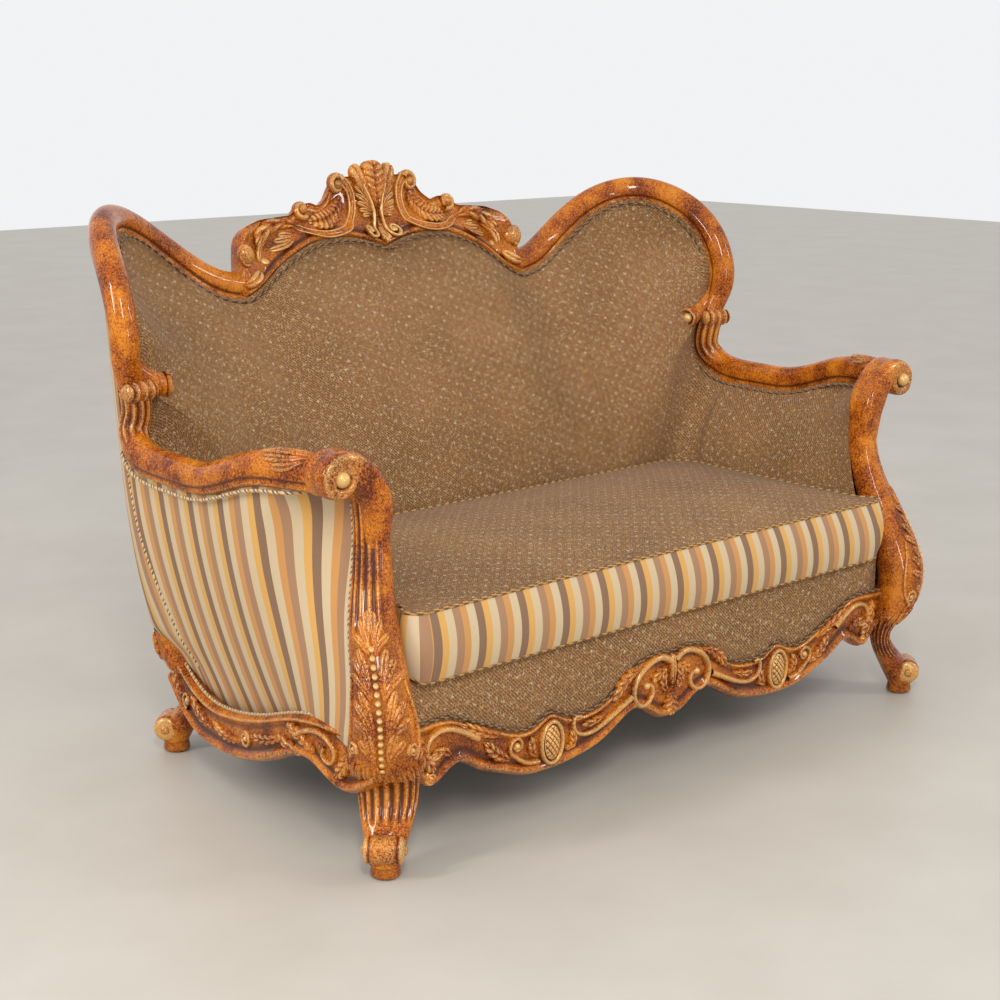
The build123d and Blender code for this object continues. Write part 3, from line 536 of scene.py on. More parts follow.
def brown_cloth():
    """Speckled twill with small crosses in slanting rows: each a step across and a little down."""
    material, shader, place, uv = new_material("brown_cloth", 0.8, sheen=0.06, specular=0.15)
    u, v, _ = uv.split()
    height = twill(u, v)
    p = u / ROW_STEP
    q = (v + p * ROW_DROP) / ROW_GAP
    across = (p.fract() - 0.5) * ROW_STEP
    upwards = (q.fract() - 0.5) * ROW_GAP - (p.fract() - 0.5) * ROW_DROP
    near = across.absolute().math("MAXIMUM", upwards.absolute())
    thin = across.absolute().math("MINIMUM", upwards.absolute())
    cross = (1.0 - near.step(*CROSS_ARM)) * (1.0 - thin.step(*CROSS_STROKE))
    drift = place.noise(5.0, 2.0, 0.5)
    ground = (height + (drift - 0.5) * 0.5).step(0.08, 0.92).mix(TAUPE_DARK, TAUPE)
    thread = place.noise(70.0, 2.0, 0.5)
    dots = thread.step(0.42, 0.58).mix(GOLD_DOT, CREAM_DOT)
    specks = place.noise(330.0, 1.0, 0.5).step(0.53, 0.64) * 0.46
    ground = specks.mix(ground, dots)
    colour = (cross * (thread * 1.3 - 0.14)).mix(ground, dots)
    feed(shader, Base_Color=colour, Roughness=0.82 - cross * 0.25)
    feed(shader, Normal=bumped(height + cross * 0.6, 0.45, 0.0006))
    return material


# %% Striped cloth and piping
STRIPES = ((0.0, (0.225, 0.130, 0.080)), (0.17, (0.63, 0.345, 0.095)), (0.32, (0.57, 0.445, 0.28)))
STRIPES += ((0.50, (0.350, 0.195, 0.110)), (0.67, (0.55, 0.265, 0.085)), (0.82, (0.57, 0.445, 0.28)))
STRIPE_REPEAT, WINDING = 0.102, 0.022
WORN = (0.33, 0.235, 0.135)


def striped_cloth():
    """Stripes across the first UV number, with a fine cross rib and a little wear."""
    material, shader, place, uv = new_material("striped_cloth", 0.65, sheen=0.05, specular=0.15)
    u, v, _ = uv.split()
    band = (u / STRIPE_REPEAT).fract().ramp(*STRIPES, constant=True)
    rib = (v * 900.0).fract() - 0.5
    thread = (u * 1100.0).fract() - 0.5
    height = rib.absolute() + thread.absolute() * 0.5
    worn = place.noise(300.0, 2.0, 0.5).step(0.25, 0.8) * 0.12
    feed(shader, Base_Color=worn.mix(band, WORN))
    feed(shader, Normal=bumped(height, 0.3, 0.0004))
    return material


def piping_cloth(name, dashes):
    """Cord cover cut on the bias: stripes that wind round it, given as (place, colour) stops."""
    material, shader, _, uv = new_material(name, 0.7, sheen=0.05, specular=0.15)
    u, v, _ = uv.split()
    wind = ((u + v * 0.8) / WINDING).fract().ramp(*dashes, constant=True)
    rib = ((u - v) * 700.0).fract() - 0.5
    feed(shader, Base_Color=wind, Normal=bumped(rib.absolute(), 0.3, 0.0004))
    return material


def plain(name, colour, darker, scale, roughness, metallic=0.0):
    """A plain finish with a soft mottle, for what is hidden inside or under the sofa."""
    material, shader, place, _ = new_material(name, roughness)
    mottle = place.noise(scale, 5.0, 0.6)
    shader.inputs["Metallic"].default_value = metallic
    feed(shader, Base_Color=mottle.step(0.35, 0.65).mix(darker, colour))
    feed(shader, Normal=bumped(mottle, 0.15, 0.0008))
    return material


WOOD = carved_wood()
BROWN = brown_cloth()
STRIPED = striped_cloth()
BROWN_CORD = piping_cloth("brown_piping", ((0.0, (0.075, 0.036, 0.016)), (0.62, (0.27, 0.175, 0.09))))
DASHES = STRIPES[:3] + ((0.6, (0.16, 0.09, 0.045)), (0.8, (0.58, 0.47, 0.30)))
DASHED_CORD = piping_cloth("striped_piping", DASHES)
GOLD_CORD = piping_cloth("gold_piping", ((0.0, (0.46, 0.25, 0.075)), (0.5, (0.15, 0.080, 0.034))))
HARDWOOD = plain("inner_hardwood", (0.55, 0.38, 0.21), (0.38, 0.24, 0.12), 30.0, 0.7)
LINING = plain("lining_cloth", (0.035, 0.032, 0.030), (0.018, 0.017, 0.016), 400.0, 0.9)
STEEL = plain("screw_steel", (0.55, 0.55, 0.55), (0.40, 0.40, 0.41), 200.0, 0.35, metallic=1.0)
GLIDE = plain("glide_plastic", (0.05, 0.05, 0.05), (0.03, 0.03, 0.03), 300.0, 0.55)
STUFFING = plain("stuffing", (0.70, 0.66, 0.54), (0.58, 0.53, 0.42), 250.0, 0.95)
print("materials:", len(bpy.data.materials))

# %% [markdown]
# ## Carver's kit
# The ornament is made from three shapes drawn on a flat board: a scroll is a round ridge along a
# curve, a leaf is a lobed blade with a midrib, and a ball is half a bead. They are drawn with
# (across, up, out) numbers and then carried onto the crest, an apron or a post by a function. A
# displaced surface could show the same carving, but it would need far more faces for sharp edges.

# %% Scrolls, leaves and balls
UP = np.array([0, 0, 1.0])


def spiral(eye, start_radius, end_radius, start, sweep_angle, count=40):
    """Points round an eye while the radius shrinks evenly; angles in degrees."""
    t = np.linspace(0, 1, count)
    angle = np.radians(start + sweep_angle * t)
    radius = start_radius + (end_radius - start_radius) * t
    return np.stack([eye[0] + radius * np.cos(angle), eye[1] + radius * np.sin(angle)], -1)


def scroll(path, start_width, end_width, rise=0.9, gilt_and_shade=0.55, sides=12, belly=0.0):
    """Half-round ridge along a flat curve, narrowing from one width to the other."""
    path = np.asarray(path, float)
    t = np.linspace(0, 1, len(path))
    width = start_width + (end_width - start_width) * t + belly * np.sin(np.pi * t)
    tangent = unit(np.gradient(path, axis=0))
    across = np.stack([-tangent[:, 1], tangent[:, 0]], -1)
    angle = np.linspace(-0.15 * np.pi, 1.15 * np.pi, sides)
    flat = path[:, None] + across[:, None] * (np.cos(angle)[None, :, None] * width[:, None, None] / 2)
    out = np.sin(angle)[None] * width[:, None] / 2 * rise * 1.6
    points = np.concatenate([flat, out[..., None]], -1)
    # Gold on the ridge's crown, and painted shade where its foot meets the ground.
    gilt_and_foot_shade = gilt_and_shade * np.clip(np.sin(angle), -0.6, 1)[None] * np.ones((len(path), 1))
    return Grid(points, gilt_and_shade=gilt_and_foot_shade, flip=True)


def leaf(path, width, rise=9.0, lobes=5, gilt_and_shade=0.8, blunt=2.0, notch=0.22, cut=0.4, sides=17):
    """Blade along a curve: an egg-shaped outline notched by lobes, with grooves between them.

    Its midrib is sunk, and the gold grows from the foot to the tip.
    """
    count = max(36, 12 * lobes)
    path = spline(path, count)
    t = np.linspace(0, 1, count)[:, None]
    v = np.linspace(-1, 1, sides)[None]
    tangent = unit(np.gradient(path, axis=0))
    across = np.stack([-tangent[:, 1], tangent[:, 0]], -1)
    peak = blunt / (blunt + 1) * (blunt + 1) ** (-1 / blunt)
    swell = np.sqrt(np.clip(t * (1 - t**blunt), 0, 1) / peak)
    wave = (t * lobes - 0.8 * np.abs(v)) % 1.0
    lobe = np.sin(np.pi * wave) ** 0.7 if lobes else np.ones_like(wave)
    half = width / 2 * swell * (1 - notch * (1 - lobe) * np.abs(v))
    flat = path[:, None] + across[:, None] * (v * half)[..., None]
    dome = np.sqrt(np.clip(1 - v**4, 0, 1)) * np.sqrt(swell)
    rib = bump(v, 0, 0.13)
    out = rise * (dome * (1 - cut + cut * lobe) - 0.28 * rib) - 1.0
    # Gold grows towards the tip; painted shade lies in the sunk midrib, between the lobes and along the
    # edges.
    gold = gilt_and_shade * (0.3 + 0.7 * t) * (lobe * 1.45 - 0.45 - 1.3 * rib - 1.2 * np.abs(v) ** 8)
    points = np.concatenate([flat, out[..., None]], -1)
    return Grid(points, gilt_and_shade=np.broadcast_to(gold, out.shape), flip=True)


def fan(foot, tips, width, rise=7.0, gilt_and_shade=0.8):
    """Fingers of a leaf: narrow blades with round ends from one foot to several tips, bending outwards."""
    foot, tips = np.array(foot, float), np.array(tips, float)
    bends = foot + (tips - foot) * (0.3, 0.55)
    return [leaf([foot, b, t], width, rise, 0, gilt_and_shade, blunt=6.0) for b, t in zip(bends, tips)]


def ball(x, y, radius, rise=1.0, gilt_and_shade=0.9, rings=9, sides=18):
    """A low dome: rings from its foot to its crown."""
    lift = np.linspace(-0.2, 0.5, rings)[:, None] * np.pi
    turn = full_turn(sides)[None]
    r, up = radius * np.cos(lift), rise * radius * np.sin(lift)
    points = np.stack(np.broadcast_arrays(x + r * np.cos(turn), y + r * np.sin(turn), up), -1)
    # Gold on the crown, and painted shade round the foot.
    return Grid(points, wrap_cols=True, gilt_and_shade=gilt_and_shade * np.clip(np.sin(lift) + 0.35, -0.5, 1))


def volute(eye, radius, start, turns=1.3, width=8.0, gilt_and_shade=0.6, hand=1):
    """A scroll that winds in to a ball at its eye."""
    path = spiral(eye, radius, radius * 0.32, start, hand * 360 * turns, 56)
    return [scroll(path, width, width * 0.6, gilt_and_shade=gilt_and_shade), ball(*eye, radius * 0.34, gilt_and_shade=0.9)]


def pair(grids):
    """The ornament and its mirror image."""
    return grids + [g.mirrored() for g in grids]


def carried(grids, place):
    """The ornament taken onto a surface by a function."""
    return [g.mapped(place) for g in grids]


# %% [markdown]
# ## Rails
# The ear rail rises from the crest, rounds the ear and comes down to a reeded roll. The arm rail
# starts under that roll with a reeded neck, dips, and runs forwards to the scroll of the post. Both
# are a fat oval with a groove and a small bead beside the cloth, inside and outside. A bevelled
# curve would give a plain tube; an outline swept point by point can swell, thin out and be reeded.

# %% Ear and arm rails
RAIL_SIDES, REEDS = 64, 11
angle = full_turn(RAIL_SIDES)
theta = np.degrees(angle)


def rail_outline(count):
    """Oval outline with beads towards the cloth on both faces; one copy for each point of the path."""
    swell = 1 - 0.13 * bump(theta, 207, 6) + 0.10 * bump(theta, 224, 8) - 0.13 * bump(theta, 333, 6)
    swell = swell + 0.10 * bump(theta, 316, 8)
    oval = np.stack([RAIL_DEPTH / 2 * np.cos(angle), RAIL_WIDTH / 2 * np.sin(angle)], -1) * swell[:, None]
    # Gold on the beads, and painted shade in the grooves beside them.
    gilt_and_groove_shade = 0.42 * bump(theta, 224, 9) + 0.42 * bump(theta, 316, 9)
    gilt_and_groove_shade = gilt_and_groove_shade - 0.6 * bump(theta, 206, 7) - 0.6 * bump(theta, 333, 7)
    return np.tile(oval, (count, 1, 1)), np.tile(gilt_and_groove_shade, (count, 1))


ear_path, ear_out = rail_line(ear_stations, EAR_Z, 170)
outline, gilt_and_groove_shade = rail_outline(len(ear_path))
run = arc_length(ear_path)[:, None]
outline[..., 1] = outline[..., 1] * (1 - 0.26 * smooth_step(run[-1] - 80, run[-1] - 15, run))
ear_rail = sweep(ear_path, ear_out, outline, gilt_and_groove_shade)
arm_path, arm_out = rail_line(arm_stations, arm_heights, 190)
outline, gilt_and_groove_shade = rail_outline(len(arm_path))
run = arc_length(arm_path)[:, None]
reeding = (1 - smooth_step(95, 150, run)) * np.cos(REEDS * angle)[None]
thicken = 1 + 0.07 * reeding + 0.07 * smooth_step(420, 620, run)
outline = outline * thicken[..., None]
# The reeds take gold on their ridges and painted shade between them.
arm_rail = sweep(arm_path, arm_out, outline, gilt_and_groove_shade * smooth_step(95, 150, run) + 0.65 * reeding)


def roll(centre, axis, radius, length, rings):
    """A lying roll: a barrel with shallow rings round it, a groove near each end and a ball beyond it."""
    t = np.linspace(-1, 1, 101)[:, None]
    turn = full_turn(48)[None]
    ringed = np.cos(2 * np.pi * rings * t) * (1 - smooth_step(0.5, 0.62, np.abs(t)))
    groove = bump(np.abs(t), 0.68, 0.05)
    r = radius * np.sqrt(np.clip(1 - np.abs(t) ** 7, 0, 1)) * (1 + 0.06 * ringed - 0.28 * groove)
    side = unit(np.cross(axis, UP))
    up = np.cross(side, axis)
    points = centre + (t * length / 2)[..., None] * axis + (r * np.cos(turn))[..., None] * side
    points = points + (r * np.sin(turn))[..., None] * up
    # Gold on the rings and the end balls, painted shade in the grooves and between the rings.
    gold = 0.25 + 0.35 * ringed - 0.9 * groove + 0.2 * smooth_step(0.72, 0.8, np.abs(t))
    return Grid(points, wrap_cols=True, gilt_and_shade=gold)


ROLL_CENTRE, ROLL_AXIS = np.array([788.0, 167.0, 765.0]), unit(np.array([1, -0.2, 0]))
EAR_EYE = np.array([717.0, 192.0, 767.0])
EYE_FACE, EYE_ACROSS = np.array([-0.97, -0.24, 0]), np.array([0.24, -0.97, 0])
ear_roll = roll(ROLL_CENTRE, ROLL_AXIS, 19.0, 76.0, rings=2)


def on_ear_foot(points):
    """Carries (across, up, out) onto the volute inside the ear's foot, which faces the sitter."""
    flat = EAR_EYE + points[..., :1] * EYE_ACROSS + points[..., 1:2] * UP
    return flat + points[..., 2:] * EYE_FACE


def read_at(along, knots, vectors):
    """Vectors given at knots, read between them."""
    return np.stack([np.interp(along, knots, vectors[:, k]) for k in range(3)], -1)


def on_rail(path, out, run_at, around):
    """Carries ornament onto a rail: its first number runs along the path, its second round the oval."""
    tangent = unit(np.gradient(path, axis=0))
    outward = unit(out - tangent * np.sum(out * tangent, -1, keepdims=True))
    upward = np.cross(tangent, outward)
    knots = arc_length(path)

    def place(points):
        along = np.clip(run_at + points[..., 0], 0, knots[-1])
        turn = np.radians(around) + points[..., 1] / (RAIL_WIDTH / 2)
        r1, r2 = RAIL_DEPTH / 2 + points[..., 2], RAIL_WIDTH / 2 + points[..., 2]
        centre, out_at, up_at = (read_at(along, knots, v) for v in (path, outward, upward))
        return centre + (r1 * np.cos(turn))[..., None] * out_at + (r2 * np.sin(turn))[..., None] * up_at

    return place


# The volute inside the ear: a horn that bends up into the rail, with a ring and a ball on its face; the face
# round them gets painted shade
HORN_R = np.array([0.0, 20, 23, 23.5, 24, 25, 26, 27])[:, None]
HORN_OUT = np.array([-3.0, -3, -6, -18, -32, -46, -60, -78])[:, None]
turn = full_turn(40)[None]
horn_up = 62 * (np.clip(-6 - HORN_OUT, 0, None) / 72) ** 1.6
horn = np.stack(np.broadcast_arrays(HORN_R * np.cos(turn), horn_up + HORN_R * np.sin(turn), HORN_OUT), -1)
eye = [
    Grid(horn, wrap_cols=True, gilt_and_shade=-0.45 * (HORN_OUT > -5), flip=True),
    scroll(spiral((0, 0), 22, 19, 60, 400, 60), 7, 6, rise=1.2, gilt_and_shade=0.5),
    ball(0, 0, 12, rise=0.8, gilt_and_shade=1.0),
]
ear = [ear_rail, ear_roll, *carried(eye, on_ear_foot)]
both_sides("carved_ear_rail", ear, WOOD, ["ear_rail"], slot="carved_wood")
# A leaf of five fingers lies on the arm just behind the scroll
fingers = [(-46, 0), (-34, 16), (-34, -16), (-10, 31), (-10, -31)]
blades = [[(62, 0.4 * w), (26, 0.9 * w), (a, w)] for a, w in fingers]
cluster = [leaf(blade, 17, rise=8, lobes=0, gilt_and_shade=0.55, blunt=5.0) for blade in blades]
place = on_rail(arm_path, arm_out, arc_length(arm_path)[-1] - 92, 74)
arm = [arm_rail, *carried(cluster, place)]
both_sides("carved_arm_rail", arm, WOOD, ["arm_rail"], slot="carved_wood")

# %% [markdown]
# ## Crest
# The crest is a board that leans with the back. Its two edges are curves drawn through a few
# points of one half, and its front swells and carries a bead along the cloth. The ornament is
# carved on top: a palmette, C-scrolls that curl at the shoulders, feathered leaves and volutes. It
# could be one solid with cuts, but a carver works in the same way, from the board up.

# %% Crest board and carving
RAKE = np.arctan(LEAN)
CREST_Y, CREST_Z, CREST_HALF, CREST_END = 447.5, 901.0, 26.0, 424.0
DRAWN_AT = np.array([0, 60, 120, 229, 388, 406, CREST_END])
DRAWN_IN = np.array([0.94, 0.86, 0.83, 0.878, 0.968, 0.95, 0.955])


def on_crest(points):
    """Carries (across, height, out) onto the crest's leaning front, a little drawn in to the middle."""
    x, z, out = points[..., 0], points[..., 1], points[..., 2] + CREST_HALF
    x = x * np.interp(np.abs(x), DRAWN_AT, DRAWN_IN)
    y = CREST_Y + LEAN * (z - CREST_Z) - out * np.cos(RAKE)
    return np.stack([x, y, z + out * np.sin(RAKE)], -1)


def drawn_edge(points, x):
    """Height of an edge drawn through the points of its right half."""
    p = np.array(points, float)
    return spline_over(p[:, 0], p[:, 1], np.abs(x))


def board(x, low, high, half, relief, place, sides=72, rounding=0.0):
    """A board between two edges: a boxy loop across it at each x, with relief on the front."""
    turn = full_turn(sides)[None]
    rounding = np.broadcast_to(rounding, len(x))[:, None]
    c = np.sign(np.cos(turn)) * np.abs(np.cos(turn)) ** (0.55 + 0.45 * rounding)
    s = np.sign(np.sin(turn)) * np.abs(np.sin(turn)) ** (0.45 + 0.55 * rounding)
    z = (low + high)[:, None] / 2 + (high - low)[:, None] / 2 * c
    lift, gold = relief(x[:, None], z - low[:, None], high[:, None] - z)
    front = smooth_step(0.2, 0.9, s) * (1 - rounding)
    out = half * (s - 1) + lift * front
    points = np.stack(np.broadcast_arrays(x[:, None], z, out), -1)
    ends = [np.broadcast_to(row.mean(0), row.shape)[None] for row in (points[0], points[-1])]
    points = np.concatenate([ends[0], points, ends[1]])
    return Grid(place(points), wrap_cols=True, gilt_and_shade=np.pad(gold * front, ((1, 1), (0, 0)), mode="edge"))


def softened(values, width):
    """Running mean over an odd number of values."""
    return np.convolve(np.pad(values, width // 2, mode="edge"), np.ones(width) / width, "valid")


CREST_TOP = [(0, 1128), (47, 1122), (71, 1117), (110, 1117), (136, 1102), (152, 1077), (182, 1057)]
CREST_TOP += [(205, 1066), (236, 1062), (258, 1042), (300, 1039), (334, 1036), (371, 1022), (392, 1000)]
CREST_TOP += [(402, 952), (408, 928), (CREST_END, 908)]
CREST_LOW = [(0, 958), (16, 963), (83, 979), (162, 984), (229, 974), (285, 949), (322, 925), (358, 894)]
CREST_LOW += [(385, 878), (406, 873), (CREST_END, 894)]
x = np.linspace(-CREST_END, CREST_END, 273)
crest_high = softened(np.interp(np.abs(x), *np.transpose(CREST_TOP)), 5)
crest_low = drawn_edge(CREST_LOW, x)


def crest_hollow(x, from_low):
    """How far the field lies behind the bead: nothing at the cloth and at the ends of the crest."""
    return 24 * smooth_step(12, 46, from_low) * (1 - smooth_step(330, 390, np.abs(x)))


def crest_relief(x, from_low, from_high):
    """A bead and groove along the cloth, a hollow field and a raised upper lip."""
    lift = 5 * bump(from_low, 9, 6) - 5 * bump(from_low, 21, 5) + 6 * bump(from_low, 42, 14)
    lift = lift + 5 * bump(from_high, 12, 9) - 2.5 - crest_hollow(x, from_low)
    # Gold on the bead and the lip; painted shade in the groove and, lightly, over the hollow field.
    gold = 0.35 * bump(from_low, 9, 5) - 0.75 * bump(from_low, 21, 5) + 0.35 * bump(from_high, 12, 7)
    return lift, gold - 0.16 * smooth_step(24, 40, from_low) * smooth_step(20, 34, from_high)


def on_field(points):
    """Carries ornament onto the crest's hollow field."""
    x, z = points[..., 0], points[..., 1]
    from_low = z - drawn_edge(CREST_LOW, x.ravel()).reshape(x.shape)
    return on_crest(points - np.stack([0 * x, 0 * x, crest_hollow(x, from_low)], -1))


crest_end = smooth_step(372, 412, np.abs(x))
crest = [board(x, crest_low, crest_high, CREST_HALF, crest_relief, on_crest, rounding=crest_end)]
sweep_c = [(104, 1112), (84, 1092), (78, 1056), (96, 1020), (142, 999), (200, 997), (246, 1016)]
band = spline(sweep_c, 60)
side = np.gradient(band, axis=0)[:, ::-1] * (-1, 1)
ridge = unit(side) * np.linspace(10, 5, 60)[:, None]
carving = [scroll(band, 24, 14, rise=0.4, gilt_and_shade=0.0)]
carving += [scroll(band + way * ridge, 6, 4, rise=1.6, gilt_and_shade=0.8) for way in (-1, 1)]
carving += [
    scroll(spiral((120, 1100), 21, 7, 150, -430, 56), 17, 9, rise=1.1, gilt_and_shade=0.6),
    ball(120, 1100, 12, 1.7, gilt_and_shade=0.4),
    scroll(spiral((229, 1052), 18, 6, 240, 430, 56), 15, 8, rise=1.1, gilt_and_shade=0.6),
    ball(229, 1052, 11, 1.7, gilt_and_shade=0.4),
    ball(388, 964, 23, 0.85, gilt_and_shade=0.45),
    scroll(spiral((388, 964), 22, 15, 250, 300, 56), 9, 5, rise=1.3),
    leaf([(112, 1078), (130, 1052), (166, 1030), (216, 1026)], 46, rise=12, lobes=10, notch=0.12),
    leaf([(240, 1012), (278, 1026), (322, 1016), (352, 984)], 34, rise=12, lobes=4, blunt=4.0),
    *fan((258, 1000), [(322, 972), (308, 990), (296, 1002)], 15, rise=9),
    leaf([(318, 996), (344, 978), (352, 948)], 15, rise=9, lobes=0, blunt=4.0),
    leaf([(412, 904), (384, 906), (356, 930)], 25, rise=11, lobes=0, blunt=4.0),
    ball(338, 950, 8),
]
stem = spline([(34, 1098), (20, 1070), (11, 1036), (16, 1006)], 30)
plume = np.concatenate([stem, spiral((36, 998), 19, 6, 165, 420)])
palmette = [
    leaf([(16, 1056), (36, 1098), (62, 1140)], 42, rise=15, lobes=0, gilt_and_shade=0.6, blunt=9.0),
    scroll(plume, 10, 7, rise=1.4, gilt_and_shade=0.9),
    ball(36, 998, 7, rise=1.5),
    *fan((14, 1034), [(60, 1096), (62, 1078), (60, 1060), (54, 1044), (46, 1032)], 13, rise=9),
]
shell = [(0, 1046), (0, 1100), (0, 1150)]
centre = [
    leaf(shell, 66, rise=22, lobes=7, gilt_and_shade=0.7, blunt=8.0, notch=0.03, cut=0.14),
    *fan((0, 1022), [(-10, 974), (10, 974), (0, 966)], 13, rise=11),
]
crest += carried(pair(carving), on_field)
palmette = carried(pair(palmette) + centre, on_field)
make("carved_crest", crest, WOOD, stands_for=["crest_rail"], slot="carved_wood")
make("crest_palmette", palmette, WOOD, stands_for=["crest_cartouche"], slot="carved_wood")

# %% [markdown]
# ## Legs and posts
# A leg is an oval whose centre and size change with height, set on the diagonal. Flutes run round
# the neck and the shank, leaves climb the knee beside a row of beads, and a roll makes the toe. The
# sizes stand in short lists, as on a carver's template, and a spline reads them at every height.

# %% Legs, posts and arm scrolls
LEG_Z = np.array([22, 69, 115, 150, 196, 242, 274.0])
LEG_OUT = np.array([2, -17, -44, -46, -26, -14, -13.0])
LEG_WIDTH = np.array([56, 80, 103, 110, 116, 113, 108.0])
LEG_DEPTH = np.array([54, 64, 46, 49, 82, 92, 97.0])
POST_Z = np.array([346, 435, 524, 601, 650.0])
POST_X = np.array([-15, -30, -48, -51, -47.0])
POST_Y = np.array([27, 63, 88, 94, 94.0])
POST_WIDTH = np.array([98, 84, 68, 62, 62.0])
POST_DEPTH = np.array([96, 82, 66, 59, 59.0])
FRONT_FOOT, REAR_FOOT = np.array([719.0, -472.0]), np.array([680.0, 276.0])
POST_TOP_Z = POST_Z[-1]
NECK_FLUTES, SHANK_FLUTES = 15, 18
TOE_Z, TOE_OUT, TOE_RADIUS, TOE_HALF = 53.0, 14.0, 26.0, 37.0
PAD_Z = np.array([2.0, 3.0, 6.0, 14.0, 22.0, 28.0, 32.0])[:, None]
PAD_RADIUS = np.array([0.0, 25.0, 27.0, 26.0, 25.0, 27.0, 18.0])[:, None]
SCROLL_EYE, SCROLL_Y = (752, 691), -384.0


class Leg:
    """Centre, width and depth of a right-hand leg at each height; way is -1 in front and 1 behind."""

    def __init__(self, foot, way, with_post):
        step = LEG_OUT * np.sqrt(0.5)
        extra = slice(0, len(POST_Z) if with_post else 0)
        self.z = np.concatenate([LEG_Z, POST_Z[extra]])
        self.x = foot[0] + np.concatenate([step, POST_X[extra]])
        self.y = foot[1] + np.concatenate([way * step, POST_Y[extra]])
        self.width = np.concatenate([LEG_WIDTH, POST_WIDTH[extra]])
        self.depth = np.concatenate([LEG_DEPTH, POST_DEPTH[extra]])
        self.out = np.array([1.0, way, 0]) * np.sqrt(0.5)
        self.across = np.array([-way, 1.0, 0]) * np.sqrt(0.5)
        self.foot, self.way = foot, way

    def read(self, values, z):
        return spline_over(self.z, values, np.ravel(z)).reshape(np.shape(z))

    def place(self, points):
        """Carries (arc round the leg, height, out) onto the leg; arc 0 faces outwards."""
        z, out = points[..., 1], points[..., 2]
        half_w, half_d = self.read(self.width, z) / 2, self.read(self.depth, z) / 2
        turn = points[..., 0] / half_w
        centre = np.stack([self.read(self.x, z), self.read(self.y, z), z], -1)
        across = ((half_w + out) * np.sin(turn))[..., None] * self.across
        return centre + across + ((half_d + out) * np.cos(turn))[..., None] * self.out

    def shaft(self, z_low, z_high, rows=190, cols=120):
        """The leg's surface: its oval with flutes cut at the neck and the shank, and a collar between."""
        z = np.linspace(z_low, z_high, rows)[:, None]
        turn = np.linspace(-np.pi, np.pi, cols, endpoint=False)[None]
        fluted = smooth_step(-0.8, -0.4, turn) * (1 - smooth_step(1.5, 1.9, turn))
        in_neck = smooth_step(400, 460, z) * fluted
        in_shank = smooth_step(84, 104, z) * (1 - smooth_step(170, 184, z))
        in_knee = smooth_step(206, 240, z) * (1 - smooth_step(400, 450, z))
        neck = in_neck * (0.5 - 0.5 * np.cos(NECK_FLUTES * turn))
        shank = in_shank * (0.5 - 0.5 * np.cos(SHANK_FLUTES * turn))
        collar = bump(z, 186, 7)
        out = 3.0 * collar - 3.2 * neck - 3.4 * shank
        ridges = in_neck * (0.5 + 0.5 * np.cos(NECK_FLUTES * turn)) ** 3
        ribs = in_shank * (0.5 + 0.5 * np.cos(SHANK_FLUTES * turn)) ** 3
        ground = in_knee * (1 - smooth_step(0.9, 1.2, np.abs(turn)))
        # Gold on the collar and the ridges between flutes; painted shade in the flutes and on the knee's
        # ground behind the leaves.
        gold = 0.3 * collar - 0.75 * neck - 0.8 * shank + 0.5 * ridges + 0.5 * ribs - 0.25 * ground
        points = np.stack(np.broadcast_arrays(turn * self.read(self.width, z) / 2, z, out), -1)
        return Grid(self.place(points), wrap_cols=True, gilt_and_shade=gold)

    def knee(self, beads):
        """Leaves that fan up the knee, volutes at its sides, short leaves under it and a row of beads."""
        rim = [(62, 214), (80, 240), (78, 282), (64, 318), (52, 352)]
        half = [
            *fan((6, 392), [(5, 462), (18, 448), (30, 424)], 15, rise=6, gilt_and_shade=0.45),
            *fan((10, 322), [(24, 404), (38, 388), (48, 362)], 17, rise=6, gilt_and_shade=0.45),
            *fan((12, 252), [(32, 340), (48, 320), (58, 288)], 18, rise=6, gilt_and_shade=0.45),
            *fan((12, 200), [(26, 274), (42, 254)], 18, rise=6, gilt_and_shade=0.45),
            scroll(spline(rim, 40), 9, 5, rise=1.0, gilt_and_shade=0.5),
            *volute((60, 232), 14, 200, hand=-1, width=8),
        ]
        frill = [[(a, 206), (a * 1.06, 188), (a * 1.1, 166)] for a in (9, 27, 45, 63, 81)]
        half += [leaf(blade, 19, rise=8, lobes=0, gilt_and_shade=0.5, blunt=3.0) for blade in frill]
        row = [ball(0, z, 5.2, rise=1.5, gilt_and_shade=1.1) for z in np.linspace(196, 404, beads)]
        return carried(pair(half) + row, self.place)

    def foot_roll(self):
        """The toe's roll with an eye at each end, and the pad under it."""
        toe = np.append(self.foot, TOE_Z) + TOE_OUT * self.out
        t = np.linspace(-1, 1, 45)[:, None]
        turn = full_turn(60)[None]
        r = TOE_RADIUS * np.sqrt(np.clip(1 - np.abs(t) ** 9, 0, 1)) * (1 - 0.13 * bump(np.abs(t), 0.66, 0.08))
        points = toe + (TOE_HALF * t)[..., None] * self.across + (r * np.cos(turn))[..., None] * self.out
        points = points + (r * np.sin(turn))[..., None] * UP
        # Gold on the barrel and its ends, painted shade in the grooves.
        gold = 0.35 - 1.0 * bump(np.abs(t), 0.66, 0.07) + 0.3 * (np.abs(t) > 0.72)
        barrel = Grid(points, wrap_cols=True, gilt_and_shade=gold)
        eyes = []
        for side in (-1, 1):
            eye = ball(0, 0, 10, rise=0.7).points
            put = toe + eye[..., :1] * self.out + eye[..., 1:2] * UP
            put = put + (eye[..., 2:] + TOE_HALF - 3) * side * self.across
            eyes.append(Grid(put, wrap_cols=True, gilt_and_shade=0.45, flip=side < 0))
        pad_x, pad_y = self.foot[0] + PAD_RADIUS * np.cos(turn), self.foot[1] + PAD_RADIUS * np.sin(turn)
        pad = np.stack(np.broadcast_arrays(pad_x, pad_y, PAD_Z), -1)
        # The pad under the foot is darkened a little with painted shade.
        return [barrel, *eyes, Grid(pad, wrap_cols=True, gilt_and_shade=-0.2)]


